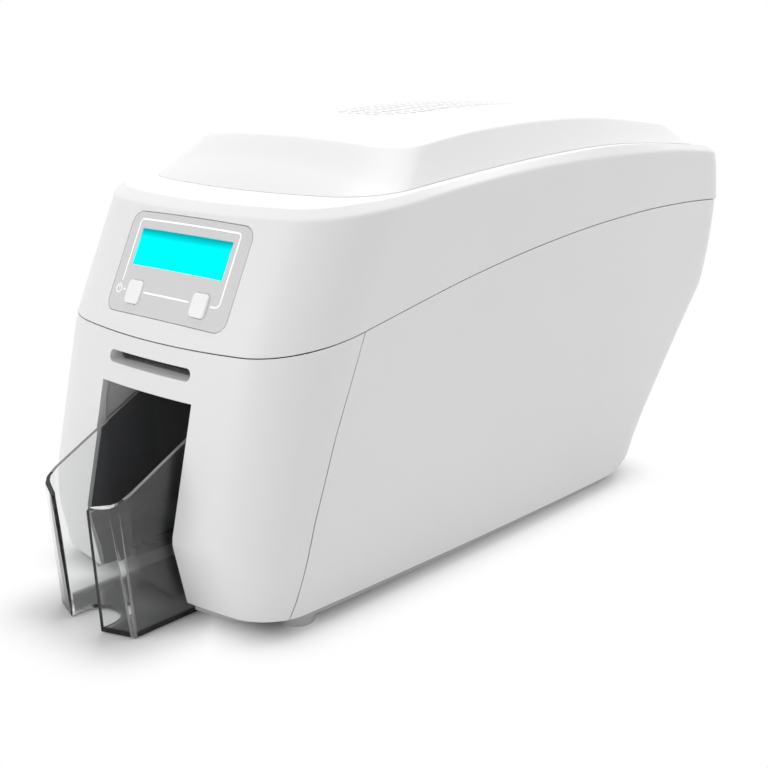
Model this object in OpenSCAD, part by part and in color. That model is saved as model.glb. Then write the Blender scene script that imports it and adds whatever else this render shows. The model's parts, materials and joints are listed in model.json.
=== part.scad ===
// Desktop plastic-card printer: a moulded housing on four feet, a lid hinged
// at the back with the print head under it, a lift-out card tray at the front,
// and the card path, film spools and gear train between two frame plates.
// +X is the right-hand side seen from the front, +Y the back, +Z up.

/* [Housing] */
// Length of the housing, chin of the fascia to the back of the lid
body_len = 450; // [440:1:460]
// Width of the housing where it is widest
body_w = 205.5; // [200:0.5:212]
// Height of the housing, floor to the crown of the top cover
body_h = 245; // [242:1:250]
// Wall of the moulded panels
wall = 2.5; // [2:0.1:3]
// Gap of the seams between neighbouring panels
seam_gap = 0.6; // [0.4:0.1:0.9]
// How far the lower band of the sides leans in at its foot
lean_in = 6; // [4:0.5:8]

/* [Top cover] */
// Half-width of the cover where it meets the deck
cover_hw = 93; // [90:0.5:94]
// Half-width of the cover at its upper rim
rim_hw = 80.5; // [78:0.5:83]
// Number of cooling slots
vent_rows = 20; // [10:1:22]
// Pitch of the cooling slots
vent_pitch = 6.2; // [5:0.1:7]
// Width of one cooling slot
vent_w = 2.2; // [1.6:0.1:2.8]
// Half-length of the longest cooling slot
vent_reach = 30; // [24:1:34]

/* [Front openings] */
// Half-width of the card bay opening
bay_hw = 35.1; // [34:0.1:36.5]
// Height of the top of the card bay opening, at the drawn body height
bay_level = 112.4; // [110:0.2:113]
// Height of the centre of the hand-feed slot, at the drawn body height
slot_level = 125.5; // [124:0.1:127]
// Half-width of the hand-feed slot
slot_hw = 31.7; // [30:0.1:33]
// Height of the hand-feed slot
slot_h = 6.4; // [6:0.1:7]

/* [Control panel] */
// Half-width of the control panel plate
plate_hw = 46; // [44:0.5:48]
// Height of the control panel plate along the slope
plate_h = 54.2; // [52:0.2:56]
// Half-width of the display window
lcd_hw = 34.9; // [33:0.1:36]
// Height of the display window
lcd_h = 19.7; // [18:0.1:20.5]
// Distance of each button from the centre line
key_x = 25.3; // [24:0.1:27]
// Width of a button
key_w = 11.5; // [10:0.1:12.5]
// Height of a button
key_h = 12.6; // [11:0.1:13]
// Travel of a button
key_travel = 0.8; // [0.5:0.1:1]

/* [Card tray] */
// How far the tray reaches in front of the chin
tray_reach = 32; // [28:0.5:34]
// Outer half-width of the tray
tray_hw = 31; // [30:0.1:31.5]
// Wall of the tray
tray_t = 2.2; // [1.8:0.1:2.6]
// Height of the tray at its front corners
tray_h = 73; // [66:1:78]
// Height of the tray's walls inside the card bay
tray_rear_h = 103; // [96:0.5:104]
// Half-width of the gap between the two front panes, at its foot
tray_gap = 12.5; // [8:0.5:13]

/* [Card path] */
// Width of the card
card_w = 54; // [53.5:0.1:54.5]
// Radius of the rubber rollers
roller_r = 7; // [6.6:0.1:7.2]
// Radius of the roller shafts
shaft_r = 3; // [2.6:0.1:3.2]
// Radial running clearance of every shaft in its bore
run_clear = 0.05; // [0.02:0.01:0.09]
// Distance of the first roller behind the chin
roller_y = 85; // [83:1:87]
// Thickness of the steel frame plates
plate_t = 2.5; // [2:0.1:3]
// Inner half-distance between the frame plates
plate_x = 53; // [52:0.5:54]

/* [Gears] */
// Module of the gears
gear_m = 1; // [1:0.02:1.04]
// Teeth of a roller gear
roller_teeth = 24; // [24:2:24]
// Teeth of an idler gear
idler_teeth = 36; // [36:2:36]
// Teeth of the motor pinion
pinion_teeth = 12; // [12:2:14]
// Teeth of the take-up gear
takeup_teeth = 34; // [32:2:36]
// Face width of the gears
gear_w = 5; // [4:0.5:6]

/* [Lid hinge] */
// Distance of the hinge axis in front of the back of the lid
hinge_back = 17; // [16.6:0.1:17.4]
// Height of the hinge axis above the floor, at the drawn body height
hinge_level = 164.5; // [163:0.5:165]
// Radius of the hinge pins
pin_r = 3; // [2.6:0.1:3.2]

/* [Hidden] */

$fn = 48;
eps = 0.01;
// Running gap between a moving piece and its neighbour
move_gap = 0.5;
// Gap between seated pieces of one body
seat_gap = 0.3;

// The housing was drawn at these sizes, which its stations refer to
ky = body_len / 450;
kz = body_h / 245;
mid_y = (body_len - tray_reach) / 2;
bay_top = bay_level * kz;
slot_z = slot_level * kz;
hinge_z = hinge_level * kz;

// Stations of the side view: [height, distance from the chin]
front_profile = [[10.5, 7.2], [45.3, 0], [137.3, 22], [222.5, 63.1]];
rear_profile = [[10.5, 336.5], [122.5, 433.5], [134.5, 438.5], [146.5, 442.2],
    [165.5, 446], [175.5, 447]];
lid_rear_profile = [[160, 450], [176, 450], [199.5, 446], [212, 442]];
// Stations along the side: [distance from the chin, height]
crease_line = [[0, 45.3], [40, 48.6], [100, 54.4], [140, 61.6], [190, 77.4],
    [247, 100], [300, 112.4], [350, 119.5], [400, 122.5], [450, 122.5]];
seam_line = [[0, 134], [22, 137.3], [83.5, 150], [136.5, 160.8],
    [175.5, 167.4], [218.5, 173.1], [266.5, 177.6], [320.5, 180.3],
    [350, 180.6], [381.5, 180.1], [416.5, 178.4], [450, 175.5]];
bevel_line = [[40, 197], [53, 199], [84.5, 203.5], [112.5, 206.3],
    [150.5, 210.7], [201.5, 214.5], [250, 216], [319.5, 215.5],
    [363.5, 214], [415.5, 209.5], [450, 205]];
deck_line = [[40, 200], [55, 203], [81, 207.5], [106.5, 209.9], [156.5, 214.6],
    [217, 219.1], [279, 221.4], [322, 220.5], [386.5, 216], [450, 209]];
crown_line = [[100, 231], [115, 234.2], [166, 241], [196, 243.4], [241, 245],
    [286, 244.4], [326, 241.5], [386, 234.5], [410, 230]];
// The fascia seam in the side view
fascia_line = [[72.5, 142.5], [54.6, 100], [40.7, 59.5], [36.5, 47.5],
    [30.2, 18.3], [28.4, 9]];

// Plan radii: front, front corner, side, back corner, back
body_radii = [405, 43, 5500, 36, 900];
base_radii = [370, 33, 5500, 33, 900];
rim_radii = [350, 26, 5500, 26, 900];
// Points of half an outline, counted along the five arcs
arc_ends = [0, 5, 12, 19, 25, 28];
half_n = arc_ends[5];
widest_y = 320 * ky;
crown_drop = 6;
bevel_in = 4;

foot_z = 10.5 * kz;
pan_bottom = foot_z - 2.5;
floor_z = foot_z - seat_gap;
// The black liner of the card bay stands outside the fascia's return
liner_x = bay_hw + wall + seat_gap;
liner_t = 1.8;
liner_back = 97;

function clamp01(v) = min(1, max(0, v));
function seg(t, v, i = 0) =
    i >= len(t) - 2 || v < t[i + 1][0] ? i : seg(t, v, i + 1);
// Smooth curve through a table of stations
function smooth(t, v) = let (
        i = seg(t, v), a = t[i], b = t[i + 1],
        p = t[max(i - 1, 0)], q = t[min(i + 2, len(t) - 1)],
        d = b[0] - a[0], u = clamp01((v - a[0]) / d),
        ma = (b[1] - p[1]) / (b[0] - p[0]) * d,
        mb = (q[1] - a[1]) / (q[0] - a[0]) * d)
    a[1] * (2 * u^3 - 3 * u^2 + 1) + ma * (u^3 - 2 * u^2 + u)
    + b[1] * (3 * u^2 - 2 * u^3) + mb * (u^3 - u^2);

// Depth of the inner face of the front wall behind its foremost line
function front_in(x) = wall + x^2 / (2 * (body_radii[0] - wall));
function front_y(z) = ky * lookup(z / kz, front_profile);
function crease_z(y) = kz * smooth(crease_line, y / ky);
function seam_z(y) = kz * smooth(seam_line, y / ky);
function bevel_z(y) = kz * smooth(bevel_line, y / ky);
function deck_z(y) = kz * smooth(deck_line, y / ky);
function crown_z(x, y) =
    kz * smooth(crown_line, y / ky) - crown_drop * (x / rim_hw)^2;

// One of the two points where two circles cross
function meet(a, ra, b, rb, s) = let (
        d = norm(b - a), k = (ra^2 - rb^2 + d^2) / (2 * d),
        h = sqrt(ra^2 - k^2), u = (b - a) / d)
    a + k * u + s * h * [-u[1], u[0]];
function bearing(v) = atan2(v[1], v[0]);
// Point i of half an outline made of five tangent arcs, moved in by off
function outline_point(i, front, rear, hw, r, off) = let (
        a = [0, front + r[0]], s = [hw - r[2], widest_y], b = [0, rear - r[4]],
        c1 = meet(a, r[0] - r[1], s, r[2] - r[1], 1),
        c2 = meet(b, r[4] - r[3], s, r[2] - r[3], -1),
        centres = [a, c1, s, c2, b],
        turns = [-90, bearing(c1 - a), bearing(c1 - s), bearing(c2 - s),
            bearing(c2 - b), 90],
        k = seg([for (e = arc_ends) [e, 0]], i),
        t = (i - arc_ends[k]) / (arc_ends[k + 1] - arc_ends[k]),
        g = turns[k] + t * (turns[k + 1] - turns[k]))
    centres[k] + (r[k] - off) * [cos(g), sin(g)];

// Outline of the housing at a height; rear is its profile at the back
function body_point(i, z, y, rear, off) = let (
        lean = lean_in * clamp01((crease_z(y) - z) / (crease_z(y) - foot_z)))
    outline_point(i, front_y(z), ky * lookup(z / kz, rear),
        body_w / 2 - lean, body_radii, off);
function settle(i, zf, rear, off, y, n = 4) = let (
        z = zf(y), p = body_point(i, z, y, rear, off))
    n == 0 ? [p[0], p[1], z] : settle(i, zf, rear, off, p[1], n - 1);
function mirrored(r) =
    concat(r, [for (i = [half_n - 1:-1:1]) [-r[i][0], r[i][1], r[i][2]]]);
function body_ring(zf, rear, off) = mirrored(
    [for (i = [0:half_n]) settle(i, zf, rear, off, body_len * i / half_n)]);

// Solid skin over a stack of mirrored rings, closed by strips at both ends
module skin(rings) {
    m = 2 * half_n;
    top = (len(rings) - 1) * m;
    polyhedron(
        points = [for (r = rings) each r],
        faces = concat(
            [for (j = [0:half_n - 1]) j == 0 ? [0, 1, m - 1]
                : j == half_n - 1 ? [j, j + 1, j + 2]
                : [j, j + 1, m - j - 1, m - j]],
            [for (j = [0:half_n - 1]) j == 0 ? [top + m - 1, top + 1, top]
                : j == half_n - 1 ? [top + j + 2, top + j + 1, top + j]
                : [top + m - j, top + m - j - 1, top + j + 1, top + j]],
            [for (k = [0:len(rings) - 2], j = [0:m - 1], h = [0, 1])
                let (a = k * m + j, b = k * m + (j + 1) % m)
                h == 0 ? [a, a + m, b + m] : [a, b + m, b]]));
}
// A moulding is one faceted skin
module moulding() resize([0, 0, 0]) children();
module place() translate([0, -mid_y, 0]) children();
// Side profile, drawn as [y, z], with its thickness along X
module across(x, t) translate([x, 0, 0]) rotate([90, 0, 90])
    linear_extrude(t) children();
// Round bar along X
module bar(x0, x1, y, z, r) translate([x0, y, z]) rotate([0, 90, 0])
    cylinder(h = x1 - x0, r = r);
module both_sides() for (s = [-1, 1]) scale([s, 1, 1]) children();
module soft_rect(w, h, r) hull() for (x = [-1, 1], y = [-1, 1])
    translate([x * (w / 2 - r), y * (h / 2 - r)]) circle(r, $fn = 32);

// ---------------------------------------------------------------- housing
function blend_z(t) = function (y)
    crease_z(y) + t * (seam_z(y) - crease_z(y));
module lower_solid(off, low, high) skin(concat(
    [body_ring(function (y) foot_z - low, rear_profile, off)],
    [for (t = [0, 0.27, 0.6]) body_ring(blend_z(t), rear_profile, off)],
    [body_ring(function (y) seam_z(y) + high, rear_profile, off)]));
module lower_shell() difference() {
    lower_solid(0, 0, -seam_gap / 2);
    lower_solid(wall, 1, 1);
}
// Everything in front of the fascia seam, moved forward by gap
module fascia_side(gap) across(-body_w, 2 * body_w) polygon(concat(
    [[-60, 0], [-60, body_h]], [[160 * ky - gap, body_h]],
    [[fascia_line[0][0] * ky - gap + 40, fascia_line[0][1] * kz + 94]],
    [for (p = fascia_line) [p[0] * ky - gap, p[1] * kz]],
    [[28 * ky - gap, 0]]));

bay_flange = 10;
module bay_cut() translate([-bay_hw, -40, -1])
    cube([2 * bay_hw, 140, bay_top + 1]);
slot_rim = 1.6;
slot_return = 28;
// Pill-shaped bar from in front of the chin back to a distance
module slot_tube(grow, back) translate([0, -30, slot_z])
    rotate([-90, 0, 0]) linear_extrude(30 + back) hull() both_sides()
        translate([slot_hw - slot_h / 2, 0])
            circle(slot_h / 2 + grow, $fn = 24);

module front_fascia() color("#efefee") place() moulding() difference() {
    union() {
        intersection() {
            lower_shell();
            fascia_side(seam_gap / 2);
        }
        // White return around the card bay
        intersection() {
            lower_solid(0.2, 0, -2);
            translate([-bay_hw - wall, -20, foot_z])
                cube([2 * (bay_hw + wall), 28 + bay_flange,
                    bay_top + wall - foot_z]);
        }
        // White return inside the hand-feed slot
        intersection() {
            lower_solid(0.2, 0, -2);
            slot_tube(slot_rim, slot_return);
        }
    }
    bay_cut();
    slot_tube(0, 50);
}
back_half = 62;
module side_panel() moulding() difference() {
    intersection() {
        lower_shell();
        translate([seat_gap / 2, -50, 0]) cube([body_w, 600, body_h]);
    }
    fascia_side(-seam_gap / 2);
    translate([-1, body_len / 2, 0])
        cube([back_half + seam_gap / 2 + 1, body_len, body_h]);
}
module left_side_panel() color("#d9dadb") place() mirror([1, 0, 0])
    side_panel();
module right_side_panel() color("#d9dadb") place() side_panel();

socket_z = hinge_z - 23.5;
socket_hw = 46;
socket_hh = 13;
module rear_panel() color("#d9dadb") place() moulding() difference() {
    intersection() {
        lower_shell();
        translate([-back_half + seam_gap / 2, body_len / 2, 0])
            cube([2 * back_half - seam_gap, body_len, body_h]);
    }
    translate([-socket_hw, body_len / 2, socket_z - socket_hh])
        cube([2 * socket_hw, body_len, 2 * socket_hh]);
}

function flat_ring(z, off) = [for (p = body_ring(function (y) z,
    rear_profile, off)) [p[0], p[1]]];
lip_h = 8;
well_hw = liner_x + liner_t + seat_gap;
well_len = liner_back + liner_t + seat_gap;
module base_pan() color("#8f9694") place() difference() {
    union() {
        translate([0, 0, pan_bottom]) linear_extrude(floor_z - pan_bottom)
            polygon(flat_ring(foot_z, 1));
        translate([0, 0, floor_z - eps]) linear_extrude(lip_h)
            difference() {
                polygon(flat_ring(foot_z, wall + 0.4));
                polygon(flat_ring(foot_z, wall + 2.4));
            }
    }
    translate([-well_hw, -50, 0]) cube([2 * well_hw, 50 + well_len, 40]);
}
foot_r = 9;
foot_x = 74;
module rubber_feet() color("#3a3a3c") place()
    for (x = [-foot_x, foot_x], y = [48 * ky, 292 * ky])
        translate([x, y, 0]) cylinder(h = pan_bottom, r = foot_r);

// ------------------------------------------------------------- frame plates
roller_pitch = gear_m * (roller_teeth + idler_teeth);
card_z = slot_z - 0.5;
axle_z = card_z - roller_r;
roller_ys = [for (i = [0:3]) roller_y + i * roller_pitch];
idler_ys = [for (i = [0:2]) roller_y + (i + 0.5) * roller_pitch];
pinch_r = 6;
pinch_shaft = 2.5;
pinch_z = card_z + 1.1 + pinch_r;
pinch_ys = [roller_ys[0], roller_ys[1], roller_ys[3]];
hinge_y = body_len - hinge_back;
// The take-up gear rides on the middle idler, forward of its top
takeup_c = gear_m * (idler_teeth + takeup_teeth) / 2;
takeup_turn = 106.6;
takeup_y = idler_ys[1] + takeup_c * cos(takeup_turn);
takeup_z = axle_z + takeup_c * sin(takeup_turn);
supply_y = roller_ys[2] + 46;
supply_z = card_z + 34;
spool_shaft = 4;
motor_y = idler_ys[2];
motor_z = axle_z - gear_m * (idler_teeth + pinion_teeth) / 2;
motor_r = 16;
motor_len = 38;
plate_front = roller_ys[0] - 22;
plate_foot = 100;
frame_rear = 318 * ky;
idler_pin = 3;

module frame_profile() difference() {
    union() {
        polygon([[plate_foot, floor_z], [frame_rear, floor_z],
            [hinge_y - 24, hinge_z - 46], [hinge_y - 5, hinge_z - 34],
            [hinge_y - 5, hinge_z], [hinge_y - 14, hinge_z + 4],
            [supply_y + 40, supply_z + 6], [takeup_y - 20, takeup_z + 8],
            [plate_front + 10, card_z + 25], [plate_front, card_z + 19],
            [plate_front, card_z - 9], [plate_foot, card_z - 21]]);
        translate([hinge_y, hinge_z]) circle(7);
    }
    for (y = roller_ys) translate([y, axle_z]) circle(shaft_r + run_clear);
    for (y = pinch_ys) translate([y, pinch_z])
        circle(pinch_shaft + run_clear);
    translate([hinge_y, hinge_z]) circle(pin_r + 0.01);
    translate([supply_y, supply_z]) spool_slot();
    translate([takeup_y, takeup_z]) spool_slot();
    translate([motor_y, motor_z]) circle(5);
    translate([frame_rear - 62, 52]) circle(20);
    translate([hinge_y - 66, hinge_z - 40]) circle(15);
}
module spool_slot() {
    circle(spool_shaft + run_clear);
    translate([-spool_shaft - run_clear, 0])
        square([2 * (spool_shaft + run_clear), 40]);
}
module frame_plate_right() color("#b9bdc0") place() {
    across(plate_x, plate_t) frame_profile();
    for (y = idler_ys) bar(plate_x + plate_t, gear_x + gear_w, y, axle_z,
        idler_pin);
}
module frame_plate_left() color("#b9bdc0") place()
    across(-plate_x - plate_t, plate_t) frame_profile();
tie_r = 4;
tie_points = [[plate_foot + 12, floor_z + 20], [frame_rear - 14, floor_z + 16],
    [frame_rear + 22, hinge_z - 64.5], [plate_foot + 22, card_z - 37]];
module frame_tie_bars() color("#9aa0a4") place()
    for (p = tie_points) bar(-plate_x, plate_x, p[0], p[1], tie_r);

// ---------------------------------------------------------------- card bay
function liner_front(z) = front_y(z) + front_in(liner_x + liner_t)
    + 2 * seat_gap;
liner_top = bay_top + wall + seat_gap;
module liner_side(t) polygon([
    [liner_front(floor_z), floor_z - 1.4], [liner_front(chin_z), chin_z],
    [liner_front(liner_top + t), liner_top + t],
    [liner_back + t, bay_top - 6 + t], [liner_back + t, floor_z - 1.4]]);
chin_z = 45.3 * kz;
rail_top = floor_z + 4.6;
module hopper_bay_liner() color("#1c1c1e") place() {
    difference() {
        across(-liner_x - liner_t, 2 * (liner_x + liner_t))
            liner_side(liner_t);
        across(-liner_x, 2 * liner_x) polygon([
            [-40, -10], [-40, liner_top], [liner_front(liner_top), liner_top],
            [liner_back, bay_top - 6], [liner_back, -10]]);
    }
    // Rails that the tray's flanges run on
    both_sides() translate([tray_hw + move_gap, bay_flange + 18, floor_z])
        cube([liner_x - tray_hw - move_gap + eps,
            liner_back - bay_flange - 18 + eps, rail_top - floor_z]);
}
module feed_slot_liner() color("#2b2b2d") place() difference() {
    slot_tube(slot_rim, guide_front - seat_gap);
    slot_tube(slot_rim + 1, slot_return + seat_gap);
    slot_tube(0, 50);
}

guide_front = 34;
guide_rear = roller_ys[3] + 28;
guide_t = 2.4;
rail_h = 2.4;
module card_guide() color("#55585c") place() difference() {
    union() {
        translate([-plate_x, plate_front, card_z - 0.6 - guide_t])
            cube([2 * plate_x, guide_rear - plate_front, guide_t]);
        translate([-slot_hw - 2, guide_front, card_z - 0.6 - guide_t])
            cube([2 * slot_hw + 4, plate_front - guide_front + eps, guide_t]);
        both_sides() translate([card_w / 2 + 0.5, guide_front,
            card_z - 0.6 - eps])
            cube([2.5, guide_rear - guide_front, rail_h]);
    }
    // Windows for the rollers, and slots that keep dust off the cards
    for (y = roller_ys) guide_window(0, y, card_w, 2 * roller_r + 2.4);
    for (y = idler_ys, x = [-14, 0, 14]) guide_window(x, y, 6, 24);
}
module guide_window(x, y, w, d) translate([x, y, card_z])
    cube([w, d, 2 * guide_t + 4], center = true);

// -------------------------------------------------------------- electronics
board_x = -plate_x - plate_t - 6;
board_t = 1.6;
module circuit_board() color("#1f6b3f") place()
    across(board_x - board_t, board_t) translate([plate_foot + 14, 34])
        square([frame_rear - plate_foot - 40, 70]);
module board_parts() color("#2a2a2c") place() {
    // Standoffs, processor, memory, capacitors, sockets
    for (y = [plate_foot + 22, frame_rear - 34], z = [42, 96])
        bar(board_x, -plate_x - plate_t, y, z, 3);
    for (p = [[30, 46, 26, 26, 2.4], [64, 50, 18, 12, 2], [64, 70, 18, 12, 2],
            [30, 82, 40, 8, 9], [120, 80, 30, 9, 8], [96, 44, 12, 20, 6]])
        translate([board_x - board_t - p[4], plate_foot + p[0], p[1]])
            cube([p[4], p[2], p[3]]);
    for (i = [0:2]) bar(board_x - board_t - 12, board_x - board_t,
        plate_foot + 128 + 12 * i, 56, 4.4);
}
conn_y = hinge_y - 18;
conn_t = 1.2;
module connector_plate() color("#c4c8ca") place() difference() {
    translate([-plate_x, conn_y, socket_z - socket_hh - 3])
        cube([2 * plate_x, conn_t, 2 * socket_hh + 5]);
    translate([-30, conn_y - 1, socket_z]) rotate([-90, 0, 0])
        cylinder(h = 9, r = 5.5);
    translate([-7, conn_y - 1, socket_z - 6]) cube([13, 9, 12]);
    translate([20, conn_y - 1, socket_z - 7.5]) cube([16.5, 9, 14]);
}
module power_inlet() color("#222224") place()
    translate([-30, conn_y, socket_z]) rotate([-90, 0, 0]) {
        difference() {
            translate([0, 0, -12]) cylinder(h = 12 + conn_t + 2, r = 5.5);
            translate([0, 0, -8]) cylinder(h = 30, r = 3.2);
        }
        translate([0, 0, -9]) cylinder(h = 9 + conn_t, r = 1);
    }
module usb_socket() color("#b6b9bc") place()
    translate([-7, conn_y - 14, socket_z - 6]) difference() {
        cube([13, 14 + conn_t + 1, 12]);
        translate([1, 3, 1]) cube([11, 30, 10]);
        translate([-1, -1, -1]) cube([15, 2, 3]);
    }
module network_socket() color("#b6b9bc") place()
    translate([20, conn_y - 18, socket_z - 7.5]) difference() {
        cube([16.5, 18 + conn_t + 1, 14]);
        translate([1.5, 5, 1.5]) cube([13.5, 30, 9]);
        translate([5, 5, 9]) cube([6.5, 30, 3.6]);
    }
module drive_motor() color("#6d7276") place() {
    bar(plate_x - motor_len, plate_x, motor_y, motor_z, motor_r);
    bar(plate_x - motor_len - 2, plate_x - motor_len + eps, motor_y,
        motor_z, 8);
    across(plate_x - 2, 2) hull() for (y = [-21, 21])
        translate([motor_y + y, motor_z]) circle(4.5, $fn = 32);
}

// ------------------------------------------------------------------- hinges
module hinge_pins() color("#c9cccf") place() both_sides()
    bar(hinge_x - 1, plate_x + plate_t + 1.2, hinge_y, hinge_z, pin_r);
hinge_x = plate_x - 10.5;
knuckle_w = 8;
knuckle_r = 6.5;
chassis_z = 203 * kz;
chassis_t = 3;
module arm_profile() difference() {
    union() {
        circle(knuckle_r);
        polygon([[-6.2, 2], [2, 6.2], [-17, 24 + lift], [-17, lift + 35.5],
            [-62, lift + 35.5], [-62, lift + 32.5], [-27, lift + 22]]);
    }
    circle(pin_r + run_clear);
}
lift = chassis_z - hinge_z - 35.5;
module lid_hinge_arms() color("#aeb3b6") place() both_sides()
    translate([0, hinge_y, hinge_z])
        across(hinge_x, knuckle_w) arm_profile();

tongue_x = plate_x - 5.5;
tongue_y = roller_ys[0] + 30;
tongue_t = 1.5;
catch_z = card_z + 18;
catch_x = tongue_x + tongue_t + 1.4;
module ball_catches() color("#cfd2d4") place() both_sides() {
    translate([catch_x, tongue_y - 6, catch_z - 5])
        cube([plate_x - catch_x, 12, 10]);
    translate([catch_x, tongue_y, catch_z]) sphere(1, $fn = 24);
}
module lid_tongues() color("#c9cccf") place() both_sides() {
    difference() {
        translate([tongue_x, tongue_y - 5, catch_z - 4])
            cube([tongue_t, 10, chassis_z - catch_z + 4]);
        bar(tongue_x - 1, tongue_x + 3, tongue_y, catch_z, 1.6);
    }
    translate([tongue_x - 8, tongue_y - 5, chassis_z - tongue_t])
        cube([8 + eps, 10, tongue_t]);
}

// ------------------------------------------------------------ rollers, gears
gear_x = plate_x + plate_t + 1.5;
end_x = -plate_x - plate_t - 2;
module driven_roller(i) color("#3b3d40") place() {
    bar(end_x, gear_x + gear_w + 1.5, roller_ys[i], axle_z, shaft_r);
    bar(-card_w / 2 + 1, card_w / 2 - 1, roller_ys[i], axle_z, roller_r);
}
module idle_roller(y) place() {
    bar(-plate_x - plate_t - 0.8, plate_x + plate_t + 0.8, y, pinch_z,
        pinch_shaft);
    bar(-card_w / 2 + 1, card_w / 2 - 1, y, pinch_z, pinch_r);
}
module feed_roller() driven_roller(0);
module drive_roller() driven_roller(1);
module platen_roller() driven_roller(2);
module exit_roller() driven_roller(3);
module cleaning_roller() color("#4d7fae") idle_roller(pinch_ys[0]);
module pinch_roller_front() color("#4a4c50") idle_roller(pinch_ys[1]);
module pinch_roller_rear() color("#4a4c50") idle_roller(pinch_ys[2]);

pressure = 20;
backlash = 0.3;
function involute(rho, rb) = let (t = sqrt(max(0, (rho / rb)^2 - 1)))
    t * 180 / PI - atan(t);
function flank(rho, n) = let (r = gear_m * n / 2, rb = r * cos(pressure))
    90 / n - backlash / 2 / r * 180 / PI / 2
    + involute(r, rb) - involute(max(rho, rb), rb);
function tooth_radii(n) = let (r = gear_m * n / 2)
    [r - 1.3 * gear_m, r - 0.4 * gear_m, r + 0.2 * gear_m,
        r + 0.9 * gear_m];
function gear_points(n, phase) = [for (k = [0:n - 1], s = [-1, 1])
    let (rr = tooth_radii(n)) each [for (j = s < 0 ? [0:3] : [3:-1:0])
        let (a = phase + 360 * k / n + s * flank(rr[j], n))
        rr[j] * [cos(a), sin(a)]]];
// Phase that puts a gap of gear b opposite a tooth of gear a
function mate(turn, phase_a, na, nb) = let (
        f = (turn - phase_a) * na / 360)
    turn + 180 - (0.5 - (f - floor(f))) * 360 / nb;
idler_phase = mate(0, 0, roller_teeth, idler_teeth);
takeup_phase = mate(takeup_turn, idler_phase, idler_teeth, takeup_teeth);
pinion_phase = mate(-90, idler_phase, idler_teeth, pinion_teeth);
module gear(y, z, n, phase, bore, hub) place() difference() {
    union() {
        translate([0, y, z]) across(gear_x, gear_w)
            polygon(gear_points(n, phase));
        bar(gear_x - 0.8, gear_x + gear_w, y, z, hub);
    }
    bar(gear_x - 5, gear_x + gear_w + 5, y, z, bore);
}
module roller_gear(i) color("#e9e6dc")
    gear(roller_ys[i], axle_z, roller_teeth, 0, shaft_r, 6);
module idler_gear(i) color("#e9e6dc") gear(idler_ys[i], axle_z, idler_teeth,
    idler_phase, idler_pin + run_clear, 6);
module feed_gear() roller_gear(0);
module drive_gear() roller_gear(1);
module platen_gear() roller_gear(2);
module exit_gear() roller_gear(3);
module idler_gear_front() idler_gear(0);
module idler_gear_middle() idler_gear(1);
module idler_gear_rear() idler_gear(2);
module motor_pinion() color("#c9a24a") place() {
    translate([0, motor_y, motor_z]) across(gear_x, gear_w)
        polygon(gear_points(pinion_teeth, pinion_phase));
    bar(plate_x + 0.4, gear_x + eps, motor_y, motor_z, 2.5);
}

// -------------------------------------------------------------------- spools
flange_t = 1.6;
core_r = 9;
film_hw = 30;
takeup_film_r = 12;
supply_film_r = 20;
module spool(y, z, x1) {
    bar(end_x, x1, y, z, spool_shaft);
    difference() {
        bar(-film_hw - 6, film_hw + 6, y, z, core_r);
        for (s = [-1, 1], a = [0:60:300])
            translate([s * (film_hw + 5), y, z]) rotate([a, 0, 0])
                translate([0, 0, core_r]) cube([4, 2.4, 3], center = true);
    }
    for (s = [-1, 1]) bar(s * (film_hw + 1) - flange_t / 2,
        s * (film_hw + 1) + flange_t / 2, y, z, core_r + 3);
}
module wound(y, z, r) difference() {
    bar(-film_hw, film_hw, y, z, r);
    bar(-film_hw - 1, film_hw + 1, y, z, core_r);
}
module supply_spool() color("#e4e6e8") place()
    spool(supply_y, supply_z, plate_x + plate_t + 1.2);
module supply_film() color("#7a2f63") place()
    wound(supply_y, supply_z, supply_film_r);
module take_up_spool() color("#e4e6e8") place()
    spool(takeup_y, takeup_z, gear_x + gear_w + 1.5);
module take_up_film() color("#3c3140") place()
    wound(takeup_y, takeup_z, takeup_film_r);
module take_up_gear() color("#e9e6dc")
    gear(takeup_y, takeup_z, takeup_teeth, takeup_phase, spool_shaft, 7);

// The stretched film, from the foot of one wound reel to the other
film_t = 0.4;
film_z = card_z + 2.2;
module dye_film_web() color("#c9a227") place() {
    p = [[takeup_y - 1, takeup_z - takeup_film_r - 1.1 - film_t],
        [head_y - 13, film_z], [head_y + 13, film_z],
        [supply_y + 2, supply_z - supply_film_r - 1.1 - film_t]];
    across(-film_hw, 2 * film_hw) polygon(concat(p,
        [for (i = [3:-1:0]) p[i] + [0, film_t]]));
}

// ------------------------------------------------------------------- tray
tray_z0 = 1;
tray_back = 84;
flange_z = rail_top + move_gap;
pane_y = 11 - tray_reach;
pane_top = tray_h - 7;
notch_y = pane_y + 1.5;
gap_flare = 2;
// Half outlines of the prow: a sharp bend at the foot, a wide one above,
// where the panes also lean forward
foot_prow = [[tray_hw, pane_y + 2], [tray_hw - 0.8, pane_y + 0.5],
    [tray_hw - 2.5, pane_y - 0.3], [tray_gap, 5 - tray_reach],
    [0, 5 - tray_reach]];
top_prow = [[tray_hw, pane_y + 3], [tray_hw - 1.5, pane_y - 3],
    [tray_hw - 5, pane_y - 6.4], [tray_gap + gap_flare, -tray_reach],
    [0, -tray_reach]];
function inset(p, t) = [for (i = [0:len(p) - 1]) let (
        d = p[min(i + 1, len(p) - 1)] - p[max(i - 1, 0)])
    i == len(p) - 1 ? p[i] + [0, t] : p[i] + t * [d[1], -d[0]] / norm(d)];
module prow(p, back) polygon(concat([[p[0][0], back]], p,
    [for (i = [len(p) - 2:-1:0]) [-p[i][0], p[i][1]]], [[-p[0][0], back]]));
module slab(z, t = eps) translate([0, 0, z]) linear_extrude(t) children();
module tray_body(t, z0) {
    hull() {
        slab(z0) prow(inset(foot_prow, t), tray_back - t);
        slab(pane_top) prow(inset(top_prow, t), tray_back - t);
    }
    slab(pane_top, 60) prow(inset(top_prow, t), tray_back - t);
}
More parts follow.
